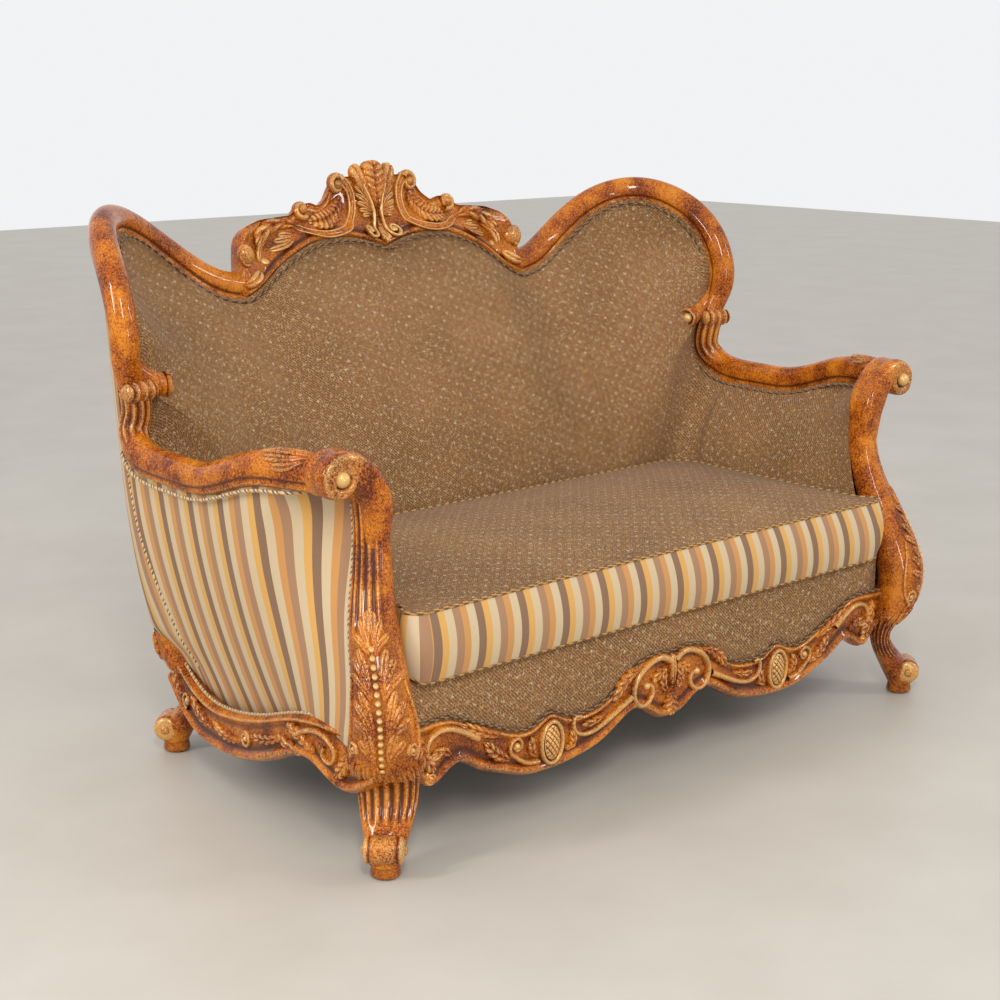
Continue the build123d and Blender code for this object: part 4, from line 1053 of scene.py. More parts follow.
def arm_scroll():
    """A ribbon from the post's neck over the arm's end and round the eye, with a button in the eye."""
    way = [(668, 560), (667, 600), (671, 640), (688, 676), (716, 705), (748, 716), (774, 699), (771, 674)]
    path = np.concatenate([spline(way, 70)[:-1], spiral(SCROLL_EYE, 26, 28, -42, -250, 50)])
    t = arc_length(path) / arc_length(path)[-1]
    thick = np.interp(t, [0, 0.12, 0.25, 0.45, 0.6, 0.8, 1], [22, 28, 29, 23, 16, 8, 6])
    turn = full_turn(60)
    c = np.sign(np.cos(turn)) * np.abs(np.cos(turn)) ** 0.6
    s = np.sign(np.sin(turn)) * np.abs(np.sin(turn)) ** 0.45
    groove = 1 - 0.10 * bump(s, 0, 0.3)
    tangent = unit(np.gradient(path, axis=0))
    normal = np.stack([-tangent[:, 1], tangent[:, 0]], -1)
    flat = path[:, None] + normal[:, None] * (thick[:, None] * (c * groove)[None])[..., None]
    depth = SCROLL_Y + s[None] * np.interp(t, [0, 0.25], [22, 34])[:, None]
    points = np.stack([flat[..., 0], depth, flat[..., 1]], -1)
    # Gold along the ribbon's edges, painted shade in its middle groove.
    gilt_and_groove_shade = 0.5 * bump(np.abs(s), 0.93, 0.12) - 0.3 * bump(s, 0, 0.25)
    ribbon = Grid(points, wrap_cols=True, gilt_and_shade=gilt_and_groove_shade[None] * smooth_step(0.3, 0.5, t)[:, None])
    button, disc = ball(*SCROLL_EYE, 14, rise=0.9).points, ball(*SCROLL_EYE, 34, rise=0.12).points
    eyes = []
    for front, y in ((-1, -415), (1, -352)):
        # Gold on the button, and painted shade on the sunk disc round it.
        for dome, sunk, gold in ((button, 0, 1.0), (disc, 8, -0.6)):
            put = np.stack([dome[..., 0], y + front * (dome[..., 2] - sunk), dome[..., 1]], -1)
            eyes.append(Grid(put, wrap_cols=True, gilt_and_shade=gold, flip=front > 0))
    return [ribbon, *eyes]


front_leg = Leg(FRONT_FOOT, -1, True)
post = [front_leg.shaft(24, 648), *front_leg.knee(16), *front_leg.foot_roll(), *arm_scroll()]
both_sides("carved_front_post", post, WOOD, ["front_post"], slot="carved_wood")
rear = Leg(REAR_FOOT, 1, False)
blades = [[(s * 8, 190), (s * 26, 220), (s * 24, 258)] for s in (-1, 1)]
knee = carried([leaf(blade, 26, rise=8, lobes=4) for blade in blades], rear.place)
rear_leg = [rear.shaft(24, 262, 110), *knee, *rear.foot_roll()]
both_sides("carved_rear_leg", rear_leg, WOOD, ["rear_leg"], slot="carved_wood")

# %% [markdown]
# ## Aprons
# Each apron is a board like the crest, with wavy edges, a thick roll along its lower edge and a
# thin lip along the upper one. The front has paired C-scrolls in the middle, a cross-hatched oval
# on each side and leaves running out to the posts. One function makes all four boards, and a small
# function for each side says where its face lies.

# %% Front apron
FRONT_UPPER = [(0, 241), (45, 244), (85, 237), (140, 205), (165, 189), (205, 174), (245, 171)]
FRONT_UPPER += [(282, 178), (317, 193), (352, 179), (385, 173), (418, 181), (466, 201), (513, 222)]
FRONT_UPPER += [(554, 239), (625, 241), (700, 240)]
FRONT_LOWER = [(0, 107), (30, 112), (61, 131), (100, 144), (151, 123), (190, 102), (243, 88), (310, 80)]
FRONT_LOWER += [(395, 88), (442, 105), (490, 125), (545, 149), (580, 131), (605, 123), (632, 147), (700, 150)]
FRONT_Y, APRON_HALF, LATTICE = -453.0, 17.5, 13.0


def on_front(points):
    """Carries (across, height, out) onto the front apron."""
    return np.stack([points[..., 0], FRONT_Y - points[..., 2], points[..., 1]], -1)


def apron_relief(x, from_low, from_high):
    """A roll along the lower edge with a groove above it, and a lip along the upper edge."""
    lift = 9 * bump(from_low, 12, 9) - 3 * bump(from_low, 27, 5)
    lift = lift + 5 * bump(from_high, 7, 5) - 2 * bump(from_high, 17, 5)
    # Gold on the roll and the lip, painted shade in the grooves beside them and, lightly, over the field.
    gold = 0.44 * bump(from_low, 10, 6) - 0.75 * bump(from_low, 27, 6) + 0.5 * bump(from_high, 7, 4)
    field = smooth_step(26, 40, from_low) * smooth_step(14, 26, from_high)
    return lift, gold - 0.5 * bump(from_high, 18, 5) - 0.16 * field


def pineapple(x, z, half_w, half_h, rise=13.0):
    """An oval boss with a lattice cut into it, inside a plain ring."""
    r = np.linspace(0.02, 1, 26)[:, None]
    turn = full_turn(90)[None]
    a, b = half_w * r * np.cos(turn), half_h * r * np.sin(turn)
    up, down = (np.cos(2 * np.pi * (a * 1.3 + way * b) / LATTICE) for way in (1, -1))
    cuts = np.maximum(up, down)
    cut = smooth_step(0.72, 0.97, cuts) * (r < 0.93)
    out = rise * np.sqrt(1 - 0.85 * r**2) - 3.0 * cut
    # Gold on the boss, painted shade in the lattice cuts.
    boss = Grid(np.stack([x + a, z + b, out], -1), wrap_cols=True, gilt_and_shade=0.85 - 1.5 * cut)
    t = np.linspace(0, 2 * np.pi, 72)
    ring = np.stack([x + (half_w + 7) * np.cos(t), z + (half_h + 7) * np.sin(t)], -1)
    return [boss, scroll(ring, 10, 10, rise=1.1, gilt_and_shade=0.7)]


x = np.linspace(-690, 690, 461)
lower, upper = drawn_edge(FRONT_LOWER, x), drawn_edge(FRONT_UPPER, x)
apron = [board(x, lower, upper, APRON_HALF, apron_relief, on_front, sides=60)]
middle = [(5, 226), (28, 238), (66, 232), (98, 206), (104, 172), (86, 152), (60, 158), (54, 182), (70, 192)]
sway = [(112, 176), (150, 158), (200, 136), (238, 132), (262, 150), (258, 170), (243, 168)]
tail = [(500, 190), (540, 214), (585, 224), (612, 205), (606, 178), (586, 178), (584, 194)]
curl = np.concatenate([spline([(352, 108), (380, 112), (408, 130)], 20), spiral((404, 150), 19, 6, -62, 420)])
carving = [
    scroll(spline(middle, 70), 17, 9, gilt_and_shade=0.65, rise=1.0),
    ball(70, 188, 8, rise=1.3),
    leaf([(14, 214), (36, 206), (52, 190)], 22, rise=10, lobes=3),
    leaf([(10, 160), (24, 184), (18, 214)], 20, rise=10, lobes=4),
    leaf([(88, 230), (122, 216), (160, 178)], 26, rise=11, lobes=5),
    scroll(spline(sway, 60), 15, 8, gilt_and_shade=0.65, rise=1.0),
    leaf([(180, 160), (214, 150), (240, 150)], 16, rise=9, lobes=3),
    leaf([(282, 112), (266, 122), (268, 146)], 20, rise=10, lobes=3),
    leaf([(352, 118), (368, 132), (366, 158)], 20, rise=10, lobes=3),
    scroll(curl, 11, 6, rise=1.1),
    ball(404, 150, 7, rise=1.3),
    leaf([(420, 128), (452, 146), (480, 176)], 26, rise=11, lobes=5),
    leaf([(440, 178), (484, 196), (536, 224)], 22, rise=10, lobes=5),
    scroll(spline(tail, 60), 16, 8, gilt_and_shade=0.65, rise=1.0),
    leaf([(556, 168), (580, 186), (604, 180)], 20, rise=10, lobes=3),
    leaf([(628, 226), (622, 190), (596, 152)], 30, rise=12, lobes=5),
    *volute((604, 141), 13, 60, hand=-1, width=8),
    *pineapple(318, 136, 19, 33),
]
bud = [leaf([(0, 168), (0, 200), (0, 240)], 17, rise=13, lobes=0)]
bud += [leaf([(0, 160), (0, 136), (0, 112)], 40, rise=12, lobes=4)]
apron += carried(pair(carving) + bud, on_front)
make("carved_front_apron", apron, WOOD, stands_for=["front_apron"], slot="carved_wood")

# %% Side and rear aprons
SIDE_FRONT, SIDE_BACK, REAR_Y = -458.0, 262.0, 317.0
SIDE_UPPER = [(SIDE_FRONT, 240), (-330, 241), (-240, 231), (-140, 199), (-20, 170), (90, 163), (170, 182)]
SIDE_UPPER += [(SIDE_BACK, 226)]
SIDE_LOWER = [(SIDE_FRONT, 160), (-372, 126), (-290, 156), (-190, 132), (-60, 88), (60, 76), (150, 86)]
SIDE_LOWER += [(SIDE_BACK, 150)]
REAR_UPPER = [(0, 205), (300, 191), (660, 226)]
REAR_LOWER = [(0, 120), (300, 90), (660, 150)]
bend = np.polyfit([-440, -110, 255], [733, 739, 696], 2)


def on_side(points):
    """Carries (depth, height, out) onto the bowed side apron."""
    depth = points[..., 0]
    return np.stack([np.polyval(bend, depth) + points[..., 2], depth, points[..., 1]], -1)


def on_rear(points):
    """Carries (across, height, out) onto the rear apron, seen from behind."""
    return np.stack([-points[..., 0], REAR_Y + points[..., 2], points[..., 1]], -1)


y = np.linspace(SIDE_FRONT, SIDE_BACK, 243)
side_upper, side_lower = (spline_over(*np.transpose(p), y) for p in (SIDE_UPPER, SIDE_LOWER))
apron = [board(y, side_lower, side_upper, APRON_HALF, apron_relief, on_side, sides=60)]
curl = [(-250, 200), (-290, 218), (-340, 216), (-362, 192), (-346, 172), (-326, 182), (-332, 198)]
carving = [
    scroll(spline(curl, 60), 13, 7, rise=1.1),
    leaf([(-400, 222), (-392, 186), (-362, 152)], 30, rise=12, lobes=5),
    leaf([(-300, 178), (-262, 198), (-222, 212)], 24, rise=11, lobes=5),
    leaf([(-282, 172), (-236, 168), (-190, 182)], 22, rise=10, lobes=4),
    leaf([(-214, 186), (-160, 162), (-96, 152)], 22, rise=10, lobes=6),
    *volute((-74, 138), 17, 100, hand=1, width=9),
    leaf([(-54, 126), (0, 122), (52, 136)], 22, rise=10, lobes=6),
    leaf([(62, 118), (110, 130), (150, 158)], 24, rise=10, lobes=5),
    *volute((176, 140), 17, 250, hand=1, width=9),
    leaf([(190, 128), (222, 160), (240, 206)], 26, rise=11, lobes=5),
]
apron += carried(carving, on_side)
both_sides("carved_side_apron", apron, WOOD, ["side_apron"], slot="carved_wood")
x = np.linspace(-645, 645, 220)
lower, upper = drawn_edge(REAR_LOWER, x), drawn_edge(REAR_UPPER, x)
apron = [board(x, lower, upper, APRON_HALF, apron_relief, on_rear, sides=48)]
make("carved_rear_apron", apron, WOOD, stands_for=["rear_apron"], slot="carved_wood")

# %% [markdown]
# ## Upholstery on the walls
# Each cloth is a patch of columns between a foot line and an edge hidden under the show-wood. A
# column follows the wall's own surface and is drawn onto the edge as it rises, so that no gap is
# left at the rail. Inside, the wall leans back from the seat with a crown; outside it is the
# wall's face. At the front both cloths of the arm are drawn onto the post. A simulated cloth could
# sag into place, but tight upholstery has little freedom, and a formula keeps its stripes straight.

# %% Lines that bound the cloth
SEAM_Z = 672.0
CORNER = bearing_station(7.0)
CREST_SEEN = 392.0


def beside(path, out, below, inwards):
    """Line beside a rail: a given distance under its centre line and towards the sitter."""
    tangent = unit(np.gradient(path, axis=0))
    outward = unit(out - tangent * np.sum(out * tangent, -1, keepdims=True))
    return path - np.cross(tangent, outward) * below - outward * inwards


def rail_edge(below, inwards, count=420):
    """The cloth's upper edge along crest, ear and arm, evenly spaced, and where its seam lies."""
    x = np.linspace(0, CREST_SEEN, 90)
    height = drawn_edge(CREST_LOW, x) + 23 - below
    under = np.stack([x, height, np.full_like(x, inwards - CREST_HALF)], -1)
    rails = ((ear_path[4:-1], ear_out[4:-1]), (arm_path, arm_out))
    line = np.concatenate([on_crest(under), *(beside(*rail, below, inwards) for rail in rails)])
    run = arc_length(line)
    line = read_at(np.linspace(0, run[-1], count), run, line)
    line = np.stack([softened(line[:, k], 7) for k in range(3)], -1)
    falling = (line[:, 2] < SEAM_Z) & (np.arange(count) > np.argmax(line[:, 2]))
    return line, int(np.argmax(falling))


def station_of(points):
    """Station of each point, from its width, its bearing round the corner or its depth along the arm."""
    x, y = points[..., 0] - PIVOT[0], points[..., 1] - PIVOT[1]
    turn = bearing_station(np.degrees(np.arctan2(y, np.maximum(x, 1e-6))))
    return np.where(y < 0, depth_station(points[..., 1]), np.where(x < 0, points[..., 0] / PIVOT[0], turn))


def cloth(edge, s_low, z_low, reach, rows, ease):
    """Columns from the foot line to the edge: each follows the wall and closes on the edge as it rises."""
    v = np.linspace(0, 1, rows)[:, None]
    s = s_low + (station_of(edge) - s_low) * v
    z = z_low + (edge[:, 2] - z_low) * v
    points = wall_point(s, reach(s, z), z)
    return points + (edge - points[-1]) * (v**ease)[..., None], s, z


def foot_stations(edge, seam):
    """Stations at the foot of the back's columns, spread so that the columns fan out to the ear."""
    share = np.linspace(0, 1, seam + 1)
    crest_end = np.argmax(edge[:, 0] > 385) / seam
    ear_top = np.argmax(edge[: seam + 1, 2] * (share > crest_end)) / seam
    return np.interp(share, [0, crest_end, ear_top, 1], [0, 0.8, 1.42, CORNER])


def towards_post(points, target):
    """Draws the front columns onto the post, sooner at the foot than under the rail."""
    share = np.linspace(0, 1, points.shape[1])[None]
    v = np.linspace(0, 1, points.shape[0])[:, None]
    pull = smooth_step(0, 1, np.clip((share - 0.5 - 0.35 * v**3) / (0.5 - 0.35 * v**3), 0, 1))
    return points + (target - points[:, -1])[:, None] * pull[..., None]


def on_post(z, across, out):
    """Points on the front post: shares of its half width across and of its half depth outwards."""
    leg, level = front_leg, np.minimum(z, POST_TOP_Z)
    x, y, width, depth = (leg.read(v, level) for v in (leg.x, leg.y, leg.width, leg.depth))
    centre = np.stack([x, y, z], -1)
    return centre + across * width[:, None] / 2 * leg.across + out * depth[:, None] / 2 * leg.out


def mirror_joined(half, half_uv):
    """Half a cloth and its mirror image joined along the middle, and the UV of both."""
    whole = np.concatenate([half[:, :0:-1] * (-1, 1, 1), half], 1)
    return whole, np.concatenate([half_uv[:, :0:-1] * (-1, 1), half_uv], 1)


inner_edge, inner_seam = rail_edge(20, 20)
outer_edge, outer_seam = rail_edge(22, -12)
print("seam at", inner_edge[inner_seam].round(), outer_edge[outer_seam].round())

# %% Inside back and arms
INSIDE_FOOT_Z, SEAT_Z, HEAD_Z, HEAD_DROP = 340.0, 445.0, 950.0, 300.0
PAD_DEPTH, CROWN, EYE_TUCK = 50.0, 18.0, 46.0


def inside_reach(s, z, tuck=EYE_TUCK):
    """Upright at the seat, then leaning out to the wall with a crown, and tucked in behind the volutes."""
    seat = inner_reach(s)
    head = HEAD_Z - HEAD_DROP * smooth_step(1.80, 1.98, s)
    rise = np.clip((z - SEAT_Z) / (head - SEAT_Z), 0, 1)
    behind = bump(z, EAR_EYE[2], 60) * bump(s, 1.83, 0.11)
    lean = (outer_reach(s, z) - PAD_DEPTH - seat) * rise
    return seat + lean - CROWN * np.sin(np.pi * rise) + tuck * behind


def smooth_reach(s, z):
    """The same wall without the tuck, on which the cloth's pattern is laid out."""
    return inside_reach(s, z, 0.0)


def inside_uv(points):
    """Cloth coordinates: level distance along each row from its first column, and distance up the slope."""
    steps = np.linalg.norm(np.diff(points[..., :2], axis=1), axis=-1)
    run = np.concatenate([np.zeros((len(points), 1)), np.cumsum(steps, 1)], 1)
    return np.stack([run, points[..., 2] * 1.15], -1)


def seam_dip(points, from_seam):
    """Sinks the columns next to the seam, as the stitches pull them in."""
    out = np.concatenate([station_base(station_of(points))[1], np.zeros(points.shape[:2] + (1,))], -1)
    return points + out * (4 * bump(from_seam, 0, 3.5))[None, :, None]


def inside_cloth(edge, foot, from_seam):
    """An inside cloth sunk at its seam, and its UV, which is laid out on the wall without the tuck."""
    shape = cloth(edge, foot, INSIDE_FOOT_Z, inside_reach, 80, 2.0)[0]
    flat = cloth(edge, foot, INSIDE_FOOT_Z, smooth_reach, 80, 2.0)[0]
    return seam_dip(shape, from_seam), inside_uv(flat)


back_foot = foot_stations(inner_edge, inner_seam)
half = inside_cloth(inner_edge[: inner_seam + 1], back_foot, np.arange(inner_seam, -1, -1.0))
whole, whole_uv = mirror_joined(*half)
back = [Grid(whole, uv=whole_uv)]
back = make("inside_back_cloth", back, BROWN, stands_for=["inside_back_pad"], slot="brown_fabric")
arm_edge = inner_edge[inner_seam:]
arm_foot = np.linspace(CORNER, depth_station(-405), len(arm_edge))
arm, arm_uv = inside_cloth(arm_edge, arm_foot, np.arange(len(arm_edge)))
post_side = on_post(arm[:, -1, 2], -0.1, -0.75)
post_side[:, 0] = np.minimum(post_side[:, 0], np.maximum(arm[:, -1, 0], SEAT_SIDE))
arm = [Grid(towards_post(arm, post_side), uv=arm_uv)]
for piece in both_sides("inside_arm_cloth", arm, BROWN, ["inside_arm_pad"], slot="brown_fabric"):
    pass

# %% Outside back and arms
APRON_AT = np.array([0, 1, 1.5, 1.95, 2.0, 2.2, 2.45, 2.7, 3.1])
APRON_TOP = np.array([203, 196, 226, 190, 168, 180, 212, 236, 238.0])
TUCK = 45.0
KNEE_AT, KNEE_TUCK = 1.63, 26.0
STRIPE_Z = 520.0
fine = np.linspace(0, 3.3, 440)
level = np.full_like(fine, STRIPE_Z)
stripe_run = arc_length(wall_point(fine, outer_reach(fine, level), level))


def outside_reach(s, z):
    """The wall's outer face, swollen between apron and rail, and drawn in behind the rear knee."""
    knee = (1 - smooth_step(215, 285, z)) * bump(s, KNEE_AT, 0.26)
    swell = 5 * np.sin(np.pi * np.clip((z - 190) / 480, 0, 1))
    return outer_reach(s, z) + swell - 2 - KNEE_TUCK * knee


def apron_top(s):
    """Height of the aprons' upper edge along the wall."""
    return np.interp(s, APRON_AT, APRON_TOP)


def outside_uv(s, z):
    """Cloth coordinates: distance round the wall, and height."""
    return np.stack([-np.interp(s, fine, stripe_run), z], -1)


def outside_cloth(edge, foot):
    """An outside cloth, which starts behind the aprons, and its UV."""
    shape, s, z = cloth(edge, foot, apron_top(foot) - TUCK, outside_reach, 60, 3.0)
    return shape, outside_uv(s, z)


half = outside_cloth(outer_edge[: outer_seam + 1], foot_stations(outer_edge, outer_seam))
whole, whole_uv = mirror_joined(*half)
back = [Grid(whole, uv=whole_uv, flip=True)]
back = make("outside_back_cloth", back, STRIPED, stands_for=["outside_back_cover"], slot="striped_fabric")
side_edge = outer_edge[outer_seam:]
side, side_uv = outside_cloth(side_edge, np.linspace(CORNER, depth_station(-425), len(side_edge)))
side = towards_post(side, on_post(side[:, -1, 2], 0.85, -0.1))
outside = [Grid(side, uv=side_uv, flip=True)]
for piece in both_sides("outside_arm_cloth", outside, STRIPED, ["outside_arm_cover"], slot="striped_fabric"):
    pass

# %% [markdown]
# ## Seat
# The deck under the cushion is a thin padded sheet, and the border below the cushion is a band of
# cloth that ends at the front apron's upper edge. The loose cushion has its own cloth: a top and a
# bottom panel and a striped boxing between them, all one closed skin. A rounded box would do from
# afar, but a few frames of cloth under air pressure fill the panels out between their corded seams.

# %% Deck and border
ROLL_Z, ROLL_RISE, ROLL_RUN = 318.0, 12.5, 30.0
BORDER_HALF, BORDER_Y, BORDER_TUCK, POUT = 652.0, -443.0, 25.0, 10.0
x = np.linspace(-BORDER_HALF, BORDER_HALF, 260)
foot = drawn_edge(FRONT_UPPER, x)
wall_rows, roll_rows = np.linspace(0, 1, 24), np.linspace(0, np.pi / 2, 9)[1:]
pout = POUT * np.sin(np.pi * wall_rows) ** 0.7
fade = smooth_step(0, 40, BORDER_HALF - np.abs(x))[None]
climb = (foot - BORDER_TUCK)[None] + (ROLL_Z - foot + BORDER_TUCK)[None] * wall_rows[:, None]
over = np.broadcast_to(ROLL_Z + ROLL_RISE * np.sin(roll_rows)[:, None], (len(roll_rows), len(x)))
depth = np.concatenate([BORDER_Y - pout, BORDER_Y + ROLL_RUN * (1 - np.cos(roll_rows))])[:, None]
depth = BORDER_Y + (depth - BORDER_Y) * np.where(depth < BORDER_Y, fade, 1)
points = np.stack(np.broadcast_arrays(x[None], depth, np.concatenate([climb, over])), -1)
border = make("border_cloth", [Grid(points)], BROWN, stands_for=["deck_border"], slot="brown_fabric")


CUSHION_FRONT, CUSHION_BACK, CUSHION_HALF = -466.0, 128.0, 628.0
EAR_WIDER, WAIST_IN, WAIST_FRONT = 20.0, 5.0, -410.0
FRONT_CORNER, BACK_CORNER = 34.0, 70.0
middle_y, half_depth = (CUSHION_FRONT + CUSHION_BACK) / 2, (CUSHION_BACK - CUSHION_FRONT) / 2


def corner_loss(radius, from_edge):
    """What a round corner takes off the half width at a distance from the edge."""
    short = np.clip(radius - from_edge, 0, radius)
    return radius - np.sqrt(np.maximum(radius**2 - short**2, 0))


def plan_half_width(y, inset):
    """Half the cushion's width at each depth: wide front ears, a waist, and rounded corners."""
    ear = 1 - smooth_step(-432, -408, y)
    waist = np.sin(np.pi * np.clip((y - WAIST_FRONT) / (CUSHION_BACK - WAIST_FRONT), 0, 1))
    width = CUSHION_HALF + EAR_WIDER * ear - WAIST_IN * waist - inset
    front, back = CUSHION_FRONT + inset, CUSHION_BACK - inset
    return width - corner_loss(FRONT_CORNER, y - front) - corner_loss(BACK_CORNER, back - y)


def panel(rows, cols, inset, z_of):
    """A grid over the cushion's plan: rows from front to back, columns from side to side."""
    share = np.linspace(0, 1, rows)
    share = share - 0.12 * np.sin(2 * np.pi * share)
    y = (CUSHION_FRONT + inset + 2 * (half_depth - inset) * share)[:, None]
    u = np.linspace(-1, 1, cols)[None]
    u = np.sin(u * np.pi / 2 * 0.8) / np.sin(np.pi / 2 * 0.8)
    x = u * plan_half_width(y, inset)
    from_middle = y - middle_y
    draw = -5 * (1 - np.abs(u) ** 2) * np.sign(from_middle) * smooth_step(80, half_depth, np.abs(from_middle))
    return np.stack([x, y + draw, z_of(u, from_middle / half_depth)], -1)


DECK_HIGH, DECK_LOW, DECK_SWELL = 322.0, 305.0, 7.0


def deck_height(u, w):
    """A level sheet that swells a little in the middle."""
    return DECK_HIGH + DECK_SWELL * (1 - u**2) ** 0.4 * (1 - np.clip(np.abs(w), 0, 1) ** 4)


deck = panel(40, 90, 10, deck_height)
deck[..., 1] = np.maximum(deck[..., 1], BORDER_Y + 9)
sheets = [Grid(deck), Grid(deck * (1, 1, 0) + DECK_LOW * UP, flip=True)]
seat = make("deck_cloth", sheets, STUFFING, stands_for=["seat_deck"], slot="stuffing")

# %% Cushion skin
ROWS, COLS, BOX_ROWS = 64, 120, 13
CUSHION_LOW, CUSHION_HIGH, DROOP, STRIPE_SLANT = 332.0, 447.0, 16.0, 36.0
SEAM_INSET, TOP_CROWN, BOX_BULGE, FRONT_BULGE = 3.0, 19.0, 8.0, 8.0


def top_height(u, w):
    """Height of the top panel: level at the seam, domed in the middle."""
    along = (1 - np.clip(np.abs(w), 0, 1) ** 2.2) ** 0.8
    return CUSHION_HIGH + TOP_CROWN * (1 - np.abs(u) ** 2.6) ** 0.8 * along


def bottom_height(u, w):
    """Height of the bottom panel: level, but hanging over the border at the front."""
    return CUSHION_LOW - DROOP * smooth_step(0.92, 1.0, -w) + 0 * u


upper = panel(ROWS, COLS, SEAM_INSET, top_height)
lower = panel(ROWS, COLS, SEAM_INSET, bottom_height)
index = np.arange(ROWS * COLS).reshape(ROWS, COLS)
loop = np.concatenate([index[0, :-1], index[:-1, -1], index[-1, :0:-1], index[:0:-1, 0]])
rim_high, rim_low = upper.reshape(-1, 3)[loop], lower.reshape(-1, 3)[loop]
share = np.linspace(0, 1, BOX_ROWS + 2)[1:-1, None, None]
along = np.roll(rim_high, -1, axis=0) - np.roll(rim_high, 1, axis=0)
outwards = unit(np.stack([along[:, 1], -along[:, 0], 0 * along[:, 0]], -1))
bulge = BOX_BULGE + FRONT_BULGE * np.clip(-outwards[:, 1:2], 0, 1)
boxing = rim_low + (rim_high - rim_low) * share + outwards * bulge * np.sin(np.pi * share)
count = ROWS * COLS
box_index = 2 * count + np.arange(BOX_ROWS * len(loop)).reshape(BOX_ROWS, -1)
ring = np.concatenate([[count + loop], box_index, [loop]])
faces_top = grid_faces(ROWS, COLS)
faces_low = faces_top[:, ::-1] + count
faces_box = ring.ravel()[grid_faces(BOX_ROWS + 2, len(loop), wrap_cols=True)]
quads = np.concatenate([faces_top, faces_low, faces_box])
points = np.concatenate([upper.reshape(-1, 3), lower.reshape(-1, 3), boxing.reshape(-1, 3)])
girth = arc_length(np.concatenate([rim_high, rim_high[:1]]))
slant = STRIPE_SLANT * np.interp(np.append(rim_high[:, 0], rim_high[0, 0]), [-650, 650], [0, 1])


def cushion_mesh(points):
    """The closed skin, with cloth coordinates on each panel and the boxing as a second material."""
    mesh = bpy.data.meshes.new("seat_cushion")
    mesh.from_pydata(points * MM, [], quads)
    panel_uv = points[quads[: 2 * len(faces_top)], :2].reshape(-1, 2)
    cols = np.arange(len(loop))
    corner = np.stack([cols, cols + 1, cols + 1, cols], -1)
    heights = np.linspace(CUSHION_LOW, CUSHION_HIGH, BOX_ROWS + 2)
    rise = np.stack([heights[:-1], heights[:-1], heights[1:], heights[1:]], -1)
    lean = slant[corner][None] * (rise[:, None] - CUSHION_LOW) / (CUSHION_HIGH - CUSHION_LOW)
    box_uv = np.stack(np.broadcast_arrays(girth[corner][None] + lean, rise[:, None]), -1)
    uv = np.concatenate([panel_uv, box_uv.reshape(-1, 2)])
    mesh.uv_layers.new(name="UVMap").data.foreach_set("uv", (uv * MM).ravel().astype(np.float32))
    material = np.zeros(len(quads), np.int32)
    material[2 * len(faces_top) :] = 1
    mesh.materials.append(BROWN)
    mesh.materials.append(STRIPED)
    mesh.polygons.foreach_set("material_index", material)
    mesh.polygons.foreach_set("use_smooth", np.ones(len(quads), bool))
    return mesh


def puffed(points, cap, frames=14):
    """The skin after air pressure has filled it between the corded seams; no point moves past the cap."""
    trial = bpy.data.objects.new("cushion_trial", cushion_mesh(points))
    bpy.context.scene.collection.objects.link(trial)
    seam = trial.vertex_groups.new(name="seam")
    seam.add(np.concatenate([loop, count + loop]).tolist(), 1.0, "REPLACE")
    cloth = trial.modifiers.new("cloth", "CLOTH")
    cloth.settings.vertex_group_mass = "seam"
    cloth.settings.use_pressure = True
    cloth.settings.uniform_pressure_force = 8.0
    cloth.settings.effector_weights.gravity = 0.0
    cloth.settings.mass = 0.3
    cloth.settings.tension_stiffness = 25.0
    cloth.settings.compression_stiffness = 25.0
    cloth.point_cache.frame_end = frames
    scene = bpy.context.scene
    for step in range(1, frames + 1):
        scene.frame_set(step)
    mesh = trial.evaluated_get(bpy.context.evaluated_depsgraph_get()).data
    co = np.zeros(len(points) * 3, np.float32)
    mesh.vertices.foreach_get("co", co)
    bpy.data.objects.remove(trial)
    scene.frame_set(1)
    move = co.reshape(-1, 3) / MM - points
    size = np.linalg.norm(move, axis=1, keepdims=True)
    print("cushion moves up to", round(float(size.max()), 1), "mm")
    return points + move * np.minimum(1, cap / np.maximum(size, 1e-6))


DECK_FRONT, REST_Z = -444.0, 331.2
points = puffed(points, 24.0)
on_deck = points[:, 1] > DECK_FRONT
points[on_deck, 2] = np.maximum(points[on_deck, 2], REST_Z)
cushion = bpy.data.objects.new("seat_cushion", cushion_mesh(points))
bpy.context.scene.collection.objects.link(cushion)
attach(cushion, "seat_cushion")
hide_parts("cushion_top_panel", "cushion_bottom_panel", "cushion_boxing", "cushion_core")
print("cushion:", len(quads), "quads")

# %% [markdown]
# ## Piping
# A cord is sewn into every seam: round both panels of the cushion, along the show-wood inside, on the
# border's foot and round the outside of the arms. Each follows a line that its cloths already have,
# so it can't leave them, and its cover is cut on the bias, which winds the stripes round it.

# %% Piping
seams = {"top": points[loop], "bottom": points[count + loop] + (0, 0, 3.5)}
for name, seam_line in seams.items():
    around = [cord(np.concatenate([seam_line, seam_line[:1]]), 3.0)]
    node = f"cushion_piping_{name}"
    make(f"{name}_cord", around, GOLD_CORD, body="seat_cushion", stands_for=[node], slot="piping_fabric")
side_foot = np.stack([np.polyval(bend, y) - 14, y, side_upper + 2], -1)[6:-10]
side_front = on_post(np.linspace(235, 640, 80), 1.0, -0.12)
side_top = side[-1, 3:-12] + (11, 0, -13)
side_seam = side[8:-4, 0]
lines = [side_foot, side_front, side_top, side_seam]
both_sides("outside_arm_piping", [cord(line, 3.2) for line in lines], DASHED_CORD, slot="piping_fabric")
inside_line = rail_edge(30, 32)[0]
make("inside_piping", pair([cord(inside_line, 2.4)]), BROWN_CORD, slot="piping_fabric")
border_foot = np.stack([x, np.full_like(x, -455.0), foot + 4], -1)
make("border_piping", [cord(border_foot, 2.6)], BROWN_CORD, slot="piping_fabric")

# %% [markdown]
# ## What is hidden
# The seat frame, its screws and blocks, the webbing and the dust cover keep their CAD shapes and
# only get a finish of their own. Bare hardwood would show where the stiles and dowels come out beside
# the rails, and so those are varnished.

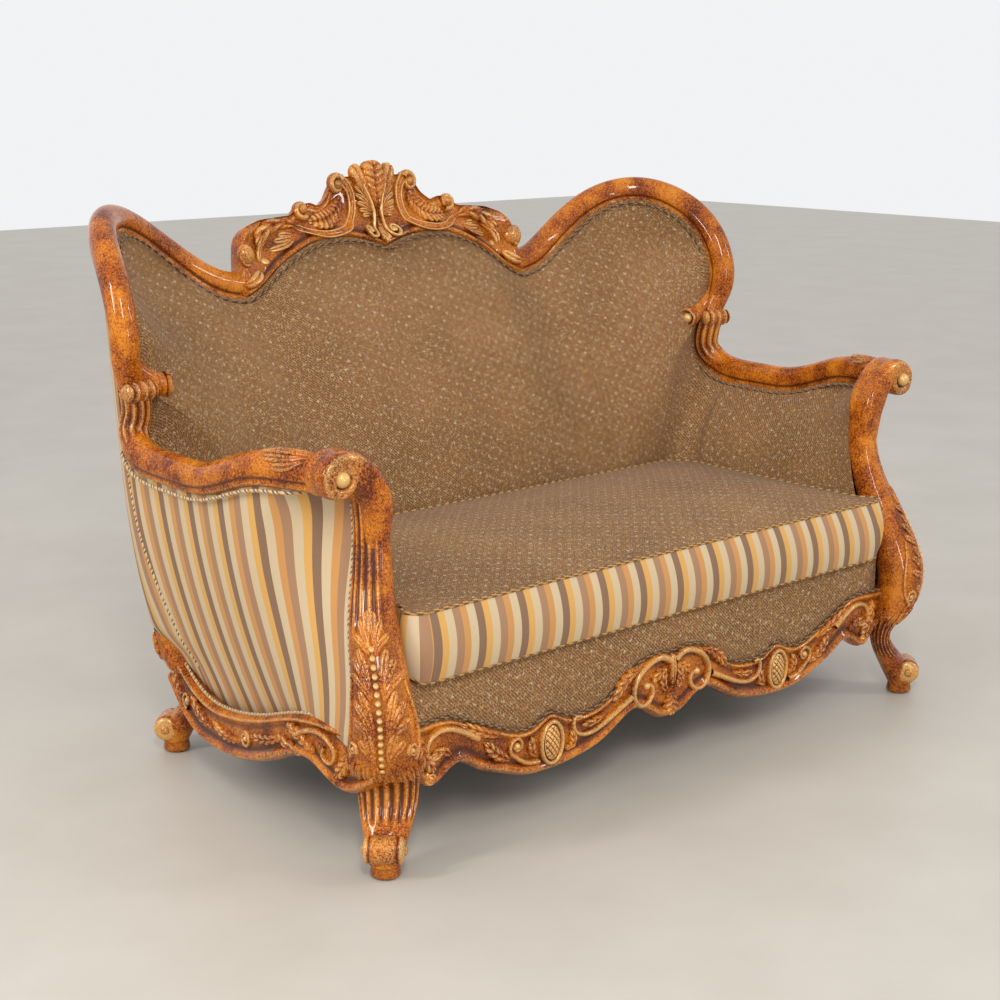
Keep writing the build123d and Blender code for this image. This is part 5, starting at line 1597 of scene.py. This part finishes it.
# %% Finishes for the CAD pieces that stay
FINISH = {
    "wing_stile_left": WOOD,
    "wing_stile_right": WOOD,
    "frame_dowels": WOOD,
    "corner_screws": STEEL,
    "foot_glides": GLIDE,
    "dust_cover": LINING,
    "seat_webbing": STUFFING,
}
finished = 0
for name, node in nodes.items():
    if node.get("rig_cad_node") and not node.hide_render:
        node.data.materials.clear()
        node.data.materials.append(FINISH.get(name, HARDWOOD))
        finished += 1
print("CAD pieces finished:", finished)

# %% [markdown]
# ## Studio
# A pale floor, a bright even surround and four upright strips of light, which draw long highlights on
# the varnish; one broad lamp would leave it dull. The camera stands where the photograph's did.

# %% Floor, light and camera
FLOOR = 12.0
CAMERA_PLACE, CAMERA_TILT, CAMERA_TURN = (-2.429, -2.735, 1.339), radians(76.55), radians(-41.04)
corners = [(-FLOOR, -FLOOR, 0), (FLOOR, -FLOOR, 0), (FLOOR, FLOOR, 0), (-FLOOR, FLOOR, 0)]
floor_mesh = bpy.data.meshes.new("floor")
floor_mesh.from_pydata(corners, [], [(0, 1, 2, 3)])
floor = bpy.data.objects.new("floor", floor_mesh)
floor_mesh.materials.append(plain("floor", (0.52, 0.485, 0.43), (0.485, 0.45, 0.395), 3.0, 0.5))
bpy.context.scene.collection.objects.link(floor)

world = bpy.data.worlds.new("studio")
world.use_nodes = True
surround = world.node_tree.nodes["Background"].inputs
surround["Color"].default_value = (0.985, 0.99, 1.0, 1)
surround["Strength"].default_value = 0.9
bpy.context.scene.world = world


def lamp(name, place, aim, width, height, watts, colour):
    """An upright strip of light turned towards a point."""
    data = bpy.data.lights.new(name, "AREA")
    data.shape, data.size, data.size_y = "RECTANGLE", width, height
    data.energy, data.color = watts, colour
    new = bpy.data.objects.new(name, data)
    new.location = place
    look = np.array(aim, float) - np.array(place, float)
    flat = np.hypot(look[0], look[1])
    new.rotation_euler = (np.arctan2(flat, -look[2]), 0, np.arctan2(look[1], look[0]) - np.pi / 2)
    bpy.context.scene.collection.objects.link(new)


lamp("key", (-2.4, -3.0, 3.0), (0, 0, 0.5), 0.4, 1.6, 66, (1.0, 0.97, 0.93))
lamp("fill", (2.6, -3.0, 2.6), (0, 0, 0.6), 0.25, 1.2, 26, (1.0, 0.99, 0.97))
lamp("low", (-0.9, -3.8, 0.9), (0, -0.4, 0.35), 0.3, 1.0, 17, (1.0, 0.98, 0.95))
lamp("side", (-3.6, 0.2, 2.2), (0, 0, 0.5), 0.35, 1.4, 46, (1.0, 0.98, 0.95))

camera = bpy.data.cameras.new("camera")
camera.lens, camera.sensor_width = 64.25, 36.0
viewer = bpy.data.objects.new("camera", camera)
viewer.location = CAMERA_PLACE
viewer.rotation_euler = (CAMERA_TILT, 0, CAMERA_TURN)
bpy.context.scene.collection.objects.link(viewer)
bpy.context.scene.camera = viewer
bpy.context.scene.view_settings.view_transform = "Standard"
